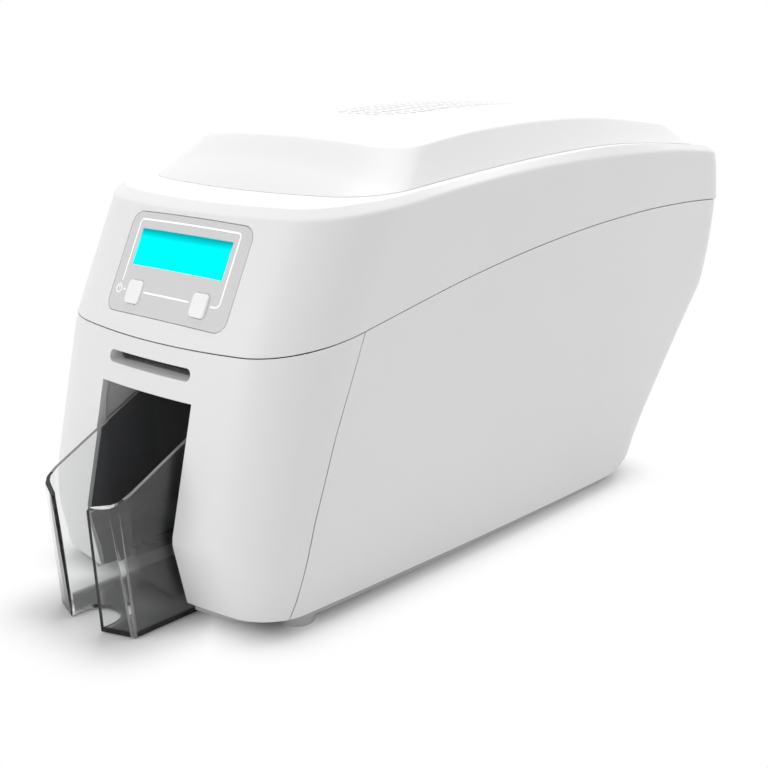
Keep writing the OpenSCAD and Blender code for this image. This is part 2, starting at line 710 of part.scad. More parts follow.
module card_tray() color("#5c5f64cc") place() {
    difference() {
        intersection() {
            tray_body(0, tray_z0);
            across(-tray_hw - 1, 2 * tray_hw + 2) polygon([
                [-tray_reach - 1, 0], [tray_back + 1, 0],
                [tray_back + 1, tray_rear_h], [36, tray_rear_h],
                [pane_y, tray_h], [-tray_reach - 1, tray_h - 6.8]]);
        }
        tray_body(tray_t, tray_z0 + tray_t);
        // Gap between the front panes, with the finger notch in the floor
        hull() for (g = [[-1, 0], [tray_h + 1, gap_flare]])
            slab(g[0]) translate([-tray_gap - g[1], -60])
                square([2 * (tray_gap + g[1]), 60 + notch_y]);
        translate([0, notch_y, -1]) cylinder(h = 20, r = tray_gap);
        // Low back wall
        translate([-tray_hw - 1, tray_back - tray_t - 1, 16])
            cube([2 * tray_hw + 2, 20, 130]);
    }
    both_sides() translate([tray_hw - eps, 34, flange_z])
        cube([bay_hw - tray_hw - move_gap, tray_back - 34, 2]);
}

// -------------------------------------------------------------------- lid
module lid_solid(off, low, top) skin([
    body_ring(function (y) seam_z(y) + low, lid_rear_profile, off),
    body_ring(function (y) bevel_z(y) - top, lid_rear_profile, off),
    body_ring(function (y) deck_z(y) - top, lid_rear_profile,
        off + bevel_in)]);
air_hw = 44;
air_y = [168 * ky, 304 * ky];
boss_r = 5;
boss_points = [for (x = [-50, 50], y = [132, 330, 392]) [x, y * ky]];
module lid_shell() color("#f3f3f2") place() moulding() difference() {
    union() {
        difference() {
            lid_solid(0, seam_gap / 2, 0);
            lid_solid(wall, -3, wall);
        }
        // Bosses that carry the lid's chassis
        intersection() {
            lid_solid(1, seam_gap, 1);
            for (p = boss_points) translate([p[0], p[1],
                chassis_z + chassis_t]) cylinder(h = 60, r = boss_r,
                $fn = 24);
        }
    }
    translate([-air_hw, air_y[0], chassis_z + chassis_t])
        cube([2 * air_hw, air_y[1] - air_y[0], 90]);
    on_face() panel_mouth();
}

function cover_ring(t, off, drop) = mirrored([for (i = [0:half_n]) let (
        p = outline_point(i, ky * (81 + 33.5 * t), ky * (425 - 22 * t),
            cover_hw + (rim_hw - cover_hw) * t,
            base_radii + (rim_radii - base_radii) * t, off),
        low = deck_z(p[1]) + seat_gap, high = crown_z(p[0], p[1]) - drop)
    [p[0], p[1], low + (high - low) * t]]);
// Ring on the crown, drawn in towards the spine by share s
function crown_ring(s, off, drop) = mirrored([for (i = [0:half_n]) let (
        p = outline_point(i, ky * 114.5, ky * 403, rim_hw, rim_radii, off),
        c = [0, min(max(p[1], ky * 165), ky * 355)],
        q = p + (c - p) * s)
    [q[0], q[1], crown_z(q[0], q[1]) - drop]]);
module cover_solid(off, drop, low) skin(concat(
    [[for (p = cover_ring(0, off, drop)) p - [0, 0, low]]],
    [cover_ring(0.9, off, drop)],
    [for (s = [0.03, 0.16, 0.45, 0.75]) crown_ring(s, off, drop)]));
vent_front = 177 * ky;
function vent_half(i) = vent_reach * sqrt(1 - (max(0, 5 - i,
    i - vent_rows + 4) / 6)^2);
module top_cover() color("#fafafa") place() moulding() difference() {
    cover_solid(0, 0.8, 0);
    cover_solid(wall, 0.8 + wall, 5);
    for (i = [0:vent_rows - 1])
        translate([-vent_half(i), vent_front + i * vent_pitch - vent_w / 2,
            200]) cube([2 * vent_half(i), vent_w, 80]);
}

module lid_chassis() color("#cfd3d5") place() difference() {
    translate([-plate_x - 5, 108, chassis_z])
        cube([2 * plate_x + 10, hinge_y - 8 - 108, chassis_t]);
    translate([-fan_w / 2 + 3, fan_y - fan_w / 2 + 3, chassis_z - 1])
        cube([fan_w - 6, fan_w - 6, 9]);
    for (p = [[0, tongue_y + 26], [0, head_y + 3], [-27, 350 * ky],
            [27, 350 * ky], [-27, tongue_y + 26], [27, tongue_y + 26]])
        translate([p[0], p[1], chassis_z - 1]) linear_extrude(9)
            soft_rect(22, 30, 4);
}

// ---------------------------------------------------------------- fan
fan_w = 50;
fan_t = 15;
fan_y = roller_ys[2] + 64;
fan_top = chassis_z - seat_gap;
module fan_housing() color("#2c2c2e") place() translate([0, fan_y, 0]) {
    difference() {
        translate([-fan_w / 2, -fan_w / 2, fan_top - fan_t])
            cube([fan_w, fan_w, fan_t]);
        translate([0, 0, fan_top - fan_t - 1])
            cylinder(h = fan_t + 2, r = fan_w / 2 - 2);
    }
    translate([0, 0, fan_top - fan_t]) cylinder(h = 2, r = 11);
    for (a = [0:90:270]) rotate([0, 0, a + 45])
        translate([10, -1.5, fan_top - fan_t])
            cube([fan_w / 2 - 10, 3, 2]);
    translate([0, 0, fan_top - fan_t]) cylinder(h = 9, r = 2);
}
module fan_impeller() color("#3a3a3d") place() translate([0, fan_y, 0]) {
    difference() {
        translate([0, 0, fan_top - fan_t + 3]) cylinder(h = 10.5, r = 10.5);
        translate([0, 0, fan_top - fan_t + 1])
            cylinder(h = 9.5, r = 2 + run_clear);
    }
    for (a = [0:60:300]) rotate([0, 0, a]) translate([10, 0,
        fan_top - fan_t + 8.2]) rotate([38, 0, 0])
        translate([0, -0.8, -5.6])
            cube([fan_w / 2 - 3 - 10 - move_gap, 1.6, 10.4]);
}

// ------------------------------------------------------------- print head
head_y = roller_ys[2];
carrier_y = head_y + 17;
carrier_z = card_z + 38;
head_hw = 28;
module printhead_bracket() color("#b3b8bb") place() {
    both_sides() difference() {
        across(head_hw + 4.5, 2) polygon([
            [head_y - 14, chassis_z], [head_y + 22, chassis_z],
            [head_y + 22, carrier_z - 7], [carrier_y - 7, carrier_z - 7],
            [carrier_y - 9, carrier_z + 10]]);
        bar(head_hw, head_hw + 9, carrier_y, carrier_z, 2.5 + run_clear);
    }
    both_sides() translate([head_hw + 4.5, head_y - 14, chassis_z - 2])
        cube([10, 36, 2]);
    translate([-head_hw - 4.5 - eps, head_y + 20, chassis_z - 14])
        cube([2 * head_hw + 9 + 2 * eps, 2, 14]);
}
module printhead_carrier() color("#8e9498") place() {
    bar(-head_hw - 7.5, head_hw + 7.5, carrier_y, carrier_z, 2.5);
    both_sides() across(head_hw + 1, 2) polygon([
        [carrier_y - 5, carrier_z + 5], [carrier_y + 4, carrier_z + 5],
        [carrier_y + 4, carrier_z - 5], [head_y + 11, card_z + 22],
        [head_y + 11, card_z + 13], [head_y - 11, card_z + 13],
        [head_y - 11, card_z + 24]]);
    translate([-head_hw - 1 - eps, head_y - 11, card_z + 13])
        cube([2 * head_hw + 2 + 2 * eps, 22, 2.5]);
    // Springs press the head down
    for (x = [-18, 18]) translate([x, head_y, card_z + 15.5 - eps])
        cylinder(h = 12, r = 4);
}
module printhead_heatsink() color("#9aa0a6") place() {
    translate([-head_hw + 1, head_y - 9, card_z + 7])
        cube([2 * head_hw - 2, 18, 6]);
    for (y = [-9:4:9]) translate([-head_hw + 1, head_y + y, card_z + 4])
        cube([2 * head_hw - 2, 1.6, 3 + eps]);
    translate([-head_hw + 1, head_y - 3.4, card_z + 3.2])
        cube([2 * head_hw - 2, 6.2, 3.8 + eps]);
}

// ------------------------------------------------------------ control panel
panel_lean = atan((front_profile[3][1] - front_profile[2][1]) * ky
    / (front_profile[3][0] - front_profile[2][0]) / kz);
lcd_z = 170.1 * kz;
module on_face() translate([0, front_y(lcd_z), lcd_z])
    rotate([90 - panel_lean, 0, 0]) children();
face_r = body_radii[0] / cos(panel_lean);
plate_mid = 1.6;
plate_round = 7;
plate_proud = -0.7;
plate_deep = 1.9;
mouth_flare = 2;
mouth_rise = 6;
// Point i of half the plate's outline, and a ring of it on the curved face
function plate_point(i, w, h, r) =
    i <= 8 ? [(w - r) * i / 8, -h]
    : i <= 13 ? [w - r, r - h] + r * [sin(18 * (i - 8)), -cos(18 * (i - 8))]
    : i <= 19 ? [w - r, h - r] + r * [cos(18 * (i - 14)), sin(18 * (i - 14))]
    : [(w - r) * (half_n - i) / 9, h];
function plate_ring(grow, level) = mirrored([for (i = [0:half_n]) let (
        p = plate_point(i, plate_hw + grow, plate_h / 2 + grow,
            plate_round + grow))
    [p[0], p[1] + plate_mid, level - p[0]^2 / (2 * face_r)]]);
// The lid's recess for the plate: straight walls, then a flared mouth
module panel_mouth() skin([plate_ring(seat_gap, -12),
    plate_ring(seat_gap, plate_proud),
    plate_ring(seat_gap + mouth_flare, 0),
    plate_ring(seat_gap + mouth_flare * (1 - mouth_rise / plate_proud),
        mouth_rise)]);
key_s = -13.6;
key_round = 2.5;
// Curved sheet that follows the front of the lid, outer to inner level
module face_sheet(outer, inner) translate([0, -60, -face_r])
    rotate([-90, 0, 0]) difference() {
        cylinder(h = 120, r = face_r + outer, $fn = 200);
        translate([0, 0, -1]) cylinder(h = 122, r = face_r + inner,
            $fn = 200);
    }
module control_panel_plate() color("#d4d6d8") place() on_face()
    difference() {
        intersection() {
            face_sheet(plate_proud, plate_proud - plate_deep);
            translate([0, plate_mid, -20]) linear_extrude(40)
                soft_rect(2 * plate_hw, plate_h, plate_round);
        }
        translate([-lcd_hw, 0, -20]) cube([2 * lcd_hw, lcd_h, 40]);
        for (x = [-key_x, key_x]) translate([x, key_s, -20])
            linear_extrude(40) soft_rect(key_w + 2 * seat_gap,
                key_h + 2 * seat_gap, key_round + seat_gap);
    }
module display_window() color("#00e5ee") place() on_face()
    translate([-lcd_hw + 0.1, 0.1, window_z - 1.4])
        cube([2 * lcd_hw - 0.2, lcd_h - 0.2, 1.4]);
// The flat window lies just under the curved plate's edge level
window_z = plate_proud - lcd_hw^2 / (2 * face_r) - 0.2;
module display_module() color("#30343a") place() on_face()
    translate([-lcd_hw - 3, -3, board_s + board_t])
        cube([2 * lcd_hw + 6, lcd_h + 6,
            window_z - 1.4 - board_t - board_s - 3.4]);
board_s = -15;
module control_board() color("#1f6b3f") place() on_face() {
    translate([-46, plate_mid - 27, board_s]) cube([92, 54, board_t]);
    for (x = [-key_x, key_x]) translate([x, key_s, board_s + board_t - eps])
        cylinder(h = 4, r = 3);
}
module display_frame() color("#d9dadb") place() on_face() {
    difference() {
        intersection() {
            face_sheet(-wall - 0.3, -wall - 2.3);
            translate([0, plate_mid - 2.6, -20]) linear_extrude(40)
                soft_rect(2 * plate_hw + 10, plate_h + 5.6, plate_round + 4);
        }
        translate([0, plate_mid, -20]) linear_extrude(40)
            soft_rect(2 * plate_hw - 8, plate_h - 8, plate_round);
    }
    for (x = [-44, 44], y = [-24.5, 24.5])
        translate([x, plate_mid + y, board_s + board_t])
            cylinder(h = -board_s - board_t - wall - 2.6, r = 2.6);
}
module key(x) place() on_face() {
    top = plate_proud - x^2 / (2 * face_r) + 0.9;
    back = plate_proud - plate_deep - (abs(x) + key_w)^2 / (2 * face_r) - 0.4;
    translate([x, key_s, back - 1]) linear_extrude(top - back + 1)
        soft_rect(key_w, key_h, key_round);
    translate([x, key_s, back - 1]) linear_extrude(1)
        soft_rect(key_w + 2, key_h + 2, key_round);
    translate([x, key_s, board_s + board_t + 4 + key_travel + 0.4])
        cylinder(h = back - board_s - board_t - 4 - key_travel - 0.4, r = 2);
}
module button_left() color("#f4f4f4") key(-key_x);
module button_right() color("#f4f4f4") key(key_x);

base_pan();
front_fascia();
left_side_panel();
right_side_panel();
rear_panel();
rubber_feet();
frame_plate_left();
frame_plate_right();
frame_tie_bars();
hopper_bay_liner();
feed_slot_liner();
card_guide();
circuit_board();
board_parts();
connector_plate();
power_inlet();
usb_socket();
network_socket();
drive_motor();
hinge_pins();
ball_catches();
dye_film_web();
card_tray();
feed_roller();
feed_gear();
drive_roller();
drive_gear();
platen_roller();
platen_gear();
exit_roller();
exit_gear();
idler_gear_front();
idler_gear_middle();
idler_gear_rear();
motor_pinion();
cleaning_roller();
pinch_roller_front();
pinch_roller_rear();
supply_spool();
supply_film();
take_up_spool();
take_up_film();
take_up_gear();
lid_shell();
top_cover();
lid_chassis();
lid_hinge_arms();
lid_tongues();
display_frame();
control_panel_plate();
display_window();
display_module();
control_board();
button_left();
button_right();
printhead_bracket();
printhead_carrier();
printhead_heatsink();
fan_housing();
fan_impeller();
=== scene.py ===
# %% [markdown]
# # A desktop plastic-card printer
# The printer is a white moulded housing with a lid hinged at the back, a grey
# control panel on its sloping front, and a clear tray for the cards. The solid
# pieces come packed from the CAD model, in metres, each on the body that it
# moves with. This lesson gives them their looks: the visible mouldings are
# rebuilt as smooth meshes, and every piece gets its own finish.

# %% Load the frame
import json
import math

import bmesh
import bpy
from mathutils import Matrix, Vector


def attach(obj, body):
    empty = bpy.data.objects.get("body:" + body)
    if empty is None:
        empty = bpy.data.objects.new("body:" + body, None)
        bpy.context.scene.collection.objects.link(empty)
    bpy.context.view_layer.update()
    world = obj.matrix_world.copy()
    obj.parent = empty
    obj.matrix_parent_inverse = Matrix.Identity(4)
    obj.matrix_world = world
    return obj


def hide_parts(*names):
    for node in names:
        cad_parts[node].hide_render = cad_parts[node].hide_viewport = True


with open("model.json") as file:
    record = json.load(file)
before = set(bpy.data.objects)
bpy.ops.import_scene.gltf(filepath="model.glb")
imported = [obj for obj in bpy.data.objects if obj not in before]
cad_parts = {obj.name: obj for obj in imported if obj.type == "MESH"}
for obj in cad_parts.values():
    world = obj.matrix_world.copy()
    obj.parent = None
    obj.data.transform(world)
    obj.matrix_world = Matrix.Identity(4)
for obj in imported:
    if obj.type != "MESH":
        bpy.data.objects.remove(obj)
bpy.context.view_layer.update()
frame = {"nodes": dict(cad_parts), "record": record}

nodes = frame["nodes"]

# %% [markdown]
# ## Measures
# The mouldings are drawn in millimetres, as their maker would draw them. The
# distance y is counted back from the chin, the foremost line of the front, and
# one helper turns such a place into metres in the frame. A line that bends is
# a short table of stations, read straight or as a smooth curve. A curve object
# could hold the same line, but a table is easier to change and to read at any
# height.

# %% Sizes of the housing, in millimetres
MM = 0.001
LENGTH = 450.0
WIDTH = 205.5
TRAY_REACH = 32.0
WALL = 2.5
SEAM = 0.6
LID_GAP = 0.56
SEAT = 0.3
LEAN_IN = 6.5
FOOT_Z = 10.5
WIDEST_Y = 320.0
MID_Y = (LENGTH - TRAY_REACH) / 2

# Side profiles: height, distance back
FRONT = [(10.5, 7.8), (45.3, 0), (137.3, 22), (222.5, 63.1)]
REAR = [(10.5, 343), (11.5, 349), (13, 353), (15, 356.3), (17.5, 358.8), (22, 361), (29, 363.8),
        (47.5, 375.2), (66, 389), (94, 410), (122.5, 433.5), (134.5, 438.5), (146.5, 442.2),
        (165.5, 446), (175.5, 447)]
LID_REAR = [(160, 450), (176, 450), (199.5, 446), (212, 442)]
FASCIA = [(9, 29.2), (11, 30.2), (19, 32.6), (34, 35.5), (47.5, 37.4), (59.5, 40.7), (100, 54.6),
          (142.5, 72.5), (236.5, 112.5)]
# Lines that run round the housing: distance back, height
CREASE = [(0, 45.3), (40, 48.6), (100, 54.4), (140, 61.6), (190, 77.4), (247, 100), (300, 112.4),
          (350, 119.5), (400, 122.5), (450, 122.5)]
LID_SEAM = [(0, 134), (22, 137.3), (83.5, 150), (136.5, 160.8), (175.5, 167.4), (218.5, 173.1),
            (266.5, 177.6), (320.5, 180.3), (350, 180.6), (381.5, 180.1), (416.5, 178.4), (450, 175.5)]
BEVEL = [(40, 197), (53, 199), (84.5, 203.5), (112.5, 206.3), (150.5, 210.7), (201.5, 214.5),
         (250, 216), (319.5, 215.5), (363.5, 214), (415.5, 209.5), (450, 205)]
DECK = [(40, 200), (55, 203), (81, 207.5), (106.5, 209.9), (156.5, 214.6), (217, 219.1),
        (279, 221.4), (322, 220.5), (386.5, 216), (450, 209)]
CROWN = [(100, 231), (115, 234.2), (166, 241), (196, 243.4), (241, 245), (286, 244.4),
         (326, 241.5), (386, 234.5), (410, 230)]
print("housing", LENGTH, "x", WIDTH, "mm, with the tray", LENGTH + TRAY_REACH, "mm long")


def at(x, y, z):
    """A place in millimetres, y from the chin, as metres in the frame."""
    return Vector((x, y - MID_Y, z)) * MM


def straight(table, v):
    """Straight lines through the stations, level past both ends."""
    if v <= table[0][0]:
        return table[0][1]
    for (a, p), (b, q) in zip(table, table[1:]):
        if v <= b:
            return p + (q - p) * (v - a) / (b - a)
    return table[-1][1]


def smooth(table, v):
    """One smooth curve through the stations."""
    last = len(table) - 2
    i = next((k for k in range(last) if v < table[k + 1][0]), last)
    before, a, b, after = table[max(i - 1, 0)], table[i], table[i + 1], table[min(i + 2, last + 1)]
    span = b[0] - a[0]
    u = min(max((v - a[0]) / span, 0), 1)
    slope_a = (b[1] - before[1]) / (b[0] - before[0]) * span
    slope_b = (after[1] - a[1]) / (after[0] - a[0]) * span
    return (a[1] * (2 * u**3 - 3 * u * u + 1) + slope_a * (u**3 - 2 * u * u + u)
            + b[1] * (3 * u * u - 2 * u**3) + slope_b * (u**3 - u * u))


# %% [markdown]
# ## The plan outline
# Seen from above, every level of the housing is the same kind of curve: a wide
# arc across the front, a tight corner, a nearly straight side, a corner and a
# wide arc at the back. Two arcs meet without a kink when the tight circle
# touches the wide ones from inside, so its centre is where two larger circles
# cross. Drawing by tangent arcs keeps the highlights even, which a freehand
# curve wouldn't.

# %% Five tangent arcs
BODY_RADII = (405, 43, 5500, 36, 900)
FOOT_RADII = (405, 28, 5500, 36, 900)
ARC_STEPS = (18, 18, 44, 16, 12)
COLUMNS = sum(ARC_STEPS)
LEVEL_TRIES = 7


def crossing(a, ra, b, rb, side):
    """Where two circles cross, on the chosen side of the line between them."""
    d = (b - a).length
    along = (ra * ra - rb * rb + d * d) / (2 * d)
    up = math.sqrt(ra * ra - along * along)
    u = (b - a) / d
    return a + along * u + side * up * Vector((-u.y, u.x))


def outline(column, front, rear, half_w, radii=BODY_RADII, inset=0.0):
    """A corner of half the plan outline, counted along the five arcs."""
    arc = 0
    while arc < len(ARC_STEPS) - 1 and column > ARC_STEPS[arc]:
        column -= ARC_STEPS[arc]
        arc += 1
    share = column / ARC_STEPS[arc]
    a = Vector((0, front + radii[0]))
    side = Vector((half_w - radii[2], WIDEST_Y))
    b = Vector((0, rear - radii[4]))
    c1 = crossing(a, radii[0] - radii[1], side, radii[2] - radii[1], 1)
    c2 = crossing(b, radii[4] - radii[3], side, radii[2] - radii[3], -1)
    ends = [math.atan2(v.y, v.x) for v in (c1 - a, c1 - side, c2 - side, c2 - b)]
    turns = [-math.pi / 2, *ends, math.pi / 2]
    turn = turns[arc] + share * (turns[arc + 1] - turns[arc])
    centre = (a, c1, side, c2, b)[arc]
    return centre + (radii[arc] - inset) * Vector((math.cos(turn), math.sin(turn)))


def body_corner(column, level, rear=REAR, inset=0.0):
    """A corner of the housing on a level that itself depends on y, found by a few tries."""
    y = LENGTH * column / COLUMNS
    for _ in range(LEVEL_TRIES):
        z = level(y)
        crease = smooth(CREASE, y)
        low = min(max((crease - z) / (crease - FOOT_Z), 0), 1)
        radii = [a + (b - a) * low for a, b in zip(BODY_RADII, FOOT_RADII)]
        p = outline(column, straight(FRONT, z), straight(rear, z), WIDTH / 2 - LEAN_IN * low, radii, inset)
        y = p.y
    return at(p.x, y, z)


seam_start = body_corner(0, lambda y: LID_SEAM[0][1])
print("half outline in", COLUMNS, "steps, from", tuple(seam_start))


# %% [markdown]
# ## Tools for making a piece
# A moulding starts as a flat grid that is bent into half the shape, mirrored,
# cut by planes and only then given its wall. Solidify makes the wall, a narrow
# bevel breaks every edge so that it catches the light as real plastic does,
# and weighted normals keep the large faces calm. The modifiers are baked into
# the mesh at once, so each piece is finished when it is made. Live modifiers
# would do as well; baked ones let the next step cut or colour their faces.

# %% Sheet helpers
SHARP_ANGLE = 50


def bent_grid(columns, rows, place):
    """A flat grid whose corners move to place(column, row)."""
    bm = bmesh.new()
    bmesh.ops.create_grid(bm, x_segments=columns, y_segments=rows, size=0.5)
    for v in bm.verts:
        v.co = place(round((v.co.x + 0.5) * columns), round((v.co.y + 0.5) * rows))
    return bm


def everything(bm):
    """All corners, edges and faces of a mesh."""
    return bm.verts[:] + bm.edges[:] + bm.faces[:]


def new_corners(made):
    """The corners among the things that an operation made."""
    return [g for g in made["geom"] if isinstance(g, bmesh.types.BMVert)]


def thicken(bm, depth, along=(0, 0, 1)):
    """Extrudes flat faces by depth, upwards or along another axis."""
    moved = new_corners(bmesh.ops.extrude_face_region(bm, geom=bm.faces[:]))
    bmesh.ops.translate(bm, verts=moved, vec=Vector(along) * (depth * MM))
    bmesh.ops.recalc_face_normals(bm, faces=bm.faces[:])


def face_out(bm, outward=Vector((1, 0, 0))):
    """The face that lies furthest outward looks outward, and the others agree with it."""
    bmesh.ops.recalc_face_normals(bm, faces=bm.faces[:])
    bm.normal_update()
    furthest = max(bm.faces, key=lambda f: f.calc_center_median().dot(outward))
    if furthest.normal.dot(outward) < 0:
        bmesh.ops.reverse_faces(bm, faces=bm.faces[:])


def mirrored(bm):
    """The other half, joined along the middle."""
    bmesh.ops.mirror(bm, geom=everything(bm), axis="X", merge_dist=1e-6)
    bmesh.ops.remove_doubles(bm, verts=bm.verts[:], dist=1e-6)
    bmesh.ops.dissolve_degenerate(bm, edges=bm.edges[:], dist=1e-6)
    face_out(bm)
    return bm


def cut(bm, point, normal, clear=True):
    """A plane cut; what lies on the normal's side goes, or stays as a new line of edges."""
    bmesh.ops.bisect_plane(bm, geom=everything(bm), dist=1e-7, plane_co=point, plane_no=normal,
                           clear_outer=clear)


def round_line(bm, height, radius, segments=4, slack=0.02, least_angle=4):
    """Rounds the edges of a sheet that lie on the line z = height(y)."""
    def on_line(v):
        return abs(v.co.z / MM - height(v.co.y / MM + MID_Y)) < slack
    chosen = [e for e in bm.edges if on_line(e.verts[0]) and on_line(e.verts[1])
              and e.calc_face_angle(0) > math.radians(least_angle)]
    bmesh.ops.bevel(bm, geom=chosen, offset=radius * MM, offset_type="OFFSET", segments=segments,
                    profile=0.5, affect="EDGES", clamp_overlap=True, material=-1)


# %% Object helpers
def scene_object(name, data):
    """A new object at the origin of the scene."""
    obj = bpy.data.objects.new(name, data)
    bpy.context.scene.collection.objects.link(obj)
    return obj


def mesh_object(bm, name):
    """The finished bmesh as an object, smoothly shaded."""
    mesh = bpy.data.meshes.new(name)
    bm.to_mesh(mesh)
    bm.free()
    mesh.shade_smooth()
    return scene_object(name, mesh)


def bake(obj):
    """The modifiers become part of the mesh."""
    bpy.context.view_layer.update()
    seen = obj.evaluated_get(bpy.context.evaluated_depsgraph_get())
    mesh = bpy.data.meshes.new_from_object(seen)
    obj.modifiers.clear()
    old, obj.data = obj.data, mesh
    bpy.data.meshes.remove(old)


def give_wall(obj, thickness=WALL):
    """Turns a sheet into a moulding; the wall grows inwards."""
    wall = obj.modifiers.new("wall", "SOLIDIFY")
    wall.thickness = thickness * MM
    wall.offset = -1
    wall.use_even_offset = True
    wall.use_quality_normals = True
    bake(obj)


def carve(obj, bm, operation="DIFFERENCE"):
    """Cuts a shape out of a piece, or joins it on."""
    tool = mesh_object(bm, "tool")
    change = obj.modifiers.new("carve", "BOOLEAN")
    change.object = tool
    change.operation = operation
    change.solver = "EXACT"
    bake(obj)
    bpy.data.objects.remove(tool)


def soften(obj, width=0.3, angle=40, segments=2):
    """Breaks the sharp edges and evens the shading."""
    edges = obj.modifiers.new("edges", "BEVEL")
    edges.width = width * MM
    edges.segments = segments
    edges.limit_method = "ANGLE"
    edges.angle_limit = math.radians(angle)
    edges.use_clamp_overlap = True
    obj.modifiers.new("shading", "WEIGHTED_NORMAL").keep_sharp = True
    bake(obj)
    obj.data.set_sharp_from_angle(angle=math.radians(SHARP_ANGLE))


def dress(obj, body, material, *stands_for, slot=None):
    """Gives a finished piece its finish, its body and the CAD nodes it shows."""
    obj.data.materials.append(material)
    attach(obj, body)
    if stands_for:
        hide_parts(*stands_for)
    print(obj.name, len(obj.data.polygons), "faces, on", body)
    return obj


def box(x0, x1, y0, y1, z0, z1):
    """A block between two corners, in millimetres."""
    bm = bmesh.new()
    bmesh.ops.create_cube(bm, size=1)
    low, high = at(x0, y0, z0), at(x1, y1, z1)
    for v in bm.verts:
        v.co = Vector(h if c > 0 else l for c, l, h in zip(v.co, low, high))
    return bm


# %% [markdown]
# ## Finishes
# Every finish is a few nodes on a Principled shader: a fine grain in the bump,
# a slow change of tone and gloss, and the colour of the real thing. The
# patterns read Object coordinates, which are metres here, so that a grain of
# half a millimetre is half a millimetre on every piece. A picture of plastic
# could be laid on instead, but it would need unwrapped pieces and would blur
# close by.

# %% Node helpers
def finish(name, color, roughness, **inputs):
    """A new material with one Principled shader; returns it with its nodes."""
    material = bpy.data.materials.new(name)
    material.use_nodes = True
    tree = material.node_tree
    shader = tree.nodes["Principled BSDF"]
    shader.inputs["Base Color"].default_value = (*color, 1)
    shader.inputs["Roughness"].default_value = roughness
    for key, value in inputs.items():
        shader.inputs[key.replace("_", " ")].default_value = value
    return material, tree, shader


def add(tree, kind, **values):
    """A new node; each value sets one of its properties or of its sockets."""
    node = tree.nodes.new(kind)
    for key, value in values.items():
        if hasattr(node, key):
            setattr(node, key, value)
        else:
            node.inputs[key.replace("_", " ")].default_value = value
    return node


def noise(tree, scale, detail, stretch=(1, 1, 1)):
    """A noise over Object coordinates; stretch turns it into streaks."""
    where = add(tree, "ShaderNodeTexCoord")
    place = add(tree, "ShaderNodeMapping")
    place.inputs["Scale"].default_value = stretch
    pattern = add(tree, "ShaderNodeTexNoise", Scale=scale, Detail=detail)
    tree.links.new(where.outputs["Object"], place.inputs["Vector"])
    tree.links.new(place.outputs["Vector"], pattern.inputs["Vector"])
    return pattern.outputs["Fac"]


def level_share(tree, direction, low, high):
    """How far a place lies along a direction, as a share of the way from low to high, in metres."""
    where = add(tree, "ShaderNodeTexCoord")
    level = add(tree, "ShaderNodeVectorMath", operation="DOT_PRODUCT")
    level.inputs[1].default_value = direction
    span = add(tree, "ShaderNodeMapRange")
    span.inputs["From Min"].default_value = low
    span.inputs["From Max"].default_value = high
    tree.links.new(where.outputs["Object"], level.inputs[0])
    tree.links.new(level.outputs["Value"], span.inputs["Value"])
    return span.outputs["Result"]


def ramp(tree, value, low, high, start=0.3, end=0.7):
    """Maps a pattern onto a range of greys or colours."""
    stops = add(tree, "ShaderNodeValToRGB")
    tree.links.new(value, stops.inputs["Fac"])
    for stop, where, color in zip(stops.color_ramp.elements, (start, end), (low, high)):
        stop.position = where
        stop.color = (*color, 1) if len(color) == 3 else color
    return stops.outputs["Color"]


def bump(tree, shader, height, distance, strength=0.35):
    """Raises the surface by a pattern, as far as distance in metres."""
    node = add(tree, "ShaderNodeBump", Strength=strength, Distance=distance)
    tree.links.new(height, node.inputs["Height"])
    tree.links.new(node.outputs["Normal"], shader.inputs["Normal"])


def toned(color, change):
    """A colour made a little lighter or darker."""
    return tuple(min(max(c * change, 0), 1) for c in color)


def speckled(name, color, roughness, grain, depth, spread=0.02, gloss_change=0.06, stretch=(1, 1, 1),
             **inputs):
    """The common recipe: grain in the bump, slow changes of tone and gloss."""
    material, tree, shader = finish(name, color, roughness, **inputs)
    fine = noise(tree, grain, 2.0, stretch)
    slow = noise(tree, 18.0, 4.0, stretch)
    bump(tree, shader, fine, depth)
    tone = ramp(tree, slow, toned(color, 1 - spread), toned(color, 1 + spread))
    tree.links.new(tone, shader.inputs["Base Color"])
    low, high = max(roughness - gloss_change, 0.02), roughness + gloss_change
    tree.links.new(ramp(tree, fine, (low,) * 3, (high,) * 3), shader.inputs["Roughness"])
    return material


# %% [markdown]
# ### The materials of this printer
# The housing is matt white plastic, the works inside are zinc-plated steel,
# cast metal, natural acetal gears and dark rubber. Each line gives the colour,
# the roughness, how many grains there are to a metre and how deep they are.

# %% The finishes of this printer
WHITE = speckled("white_moulding", (0.84, 0.84, 0.838), 0.42, 2600, 0.00003, 0.006, 0.05)
# The base pan is grey steel; its tone is also painted shade, set to match the shadow under the housing
# where its edge shows.
PAN_PAINTED_SHADE = speckled("base_pan_painted_shade", (0.42, 0.42, 0.42), 0.5, 1800, 0.00004, 0.03)
BLACK = speckled("black_moulding", (0.012, 0.012, 0.013), 0.4, 2200, 0.00005, 0.2)
CHARCOAL = speckled("charcoal_moulding", (0.05, 0.052, 0.056), 0.45, 2200, 0.00005, 0.1)
NATURAL = speckled("natural_acetal", (0.78, 0.76, 0.69), 0.36, 2000, 0.00003, 0.02,
                   Subsurface_Weight=0.05)
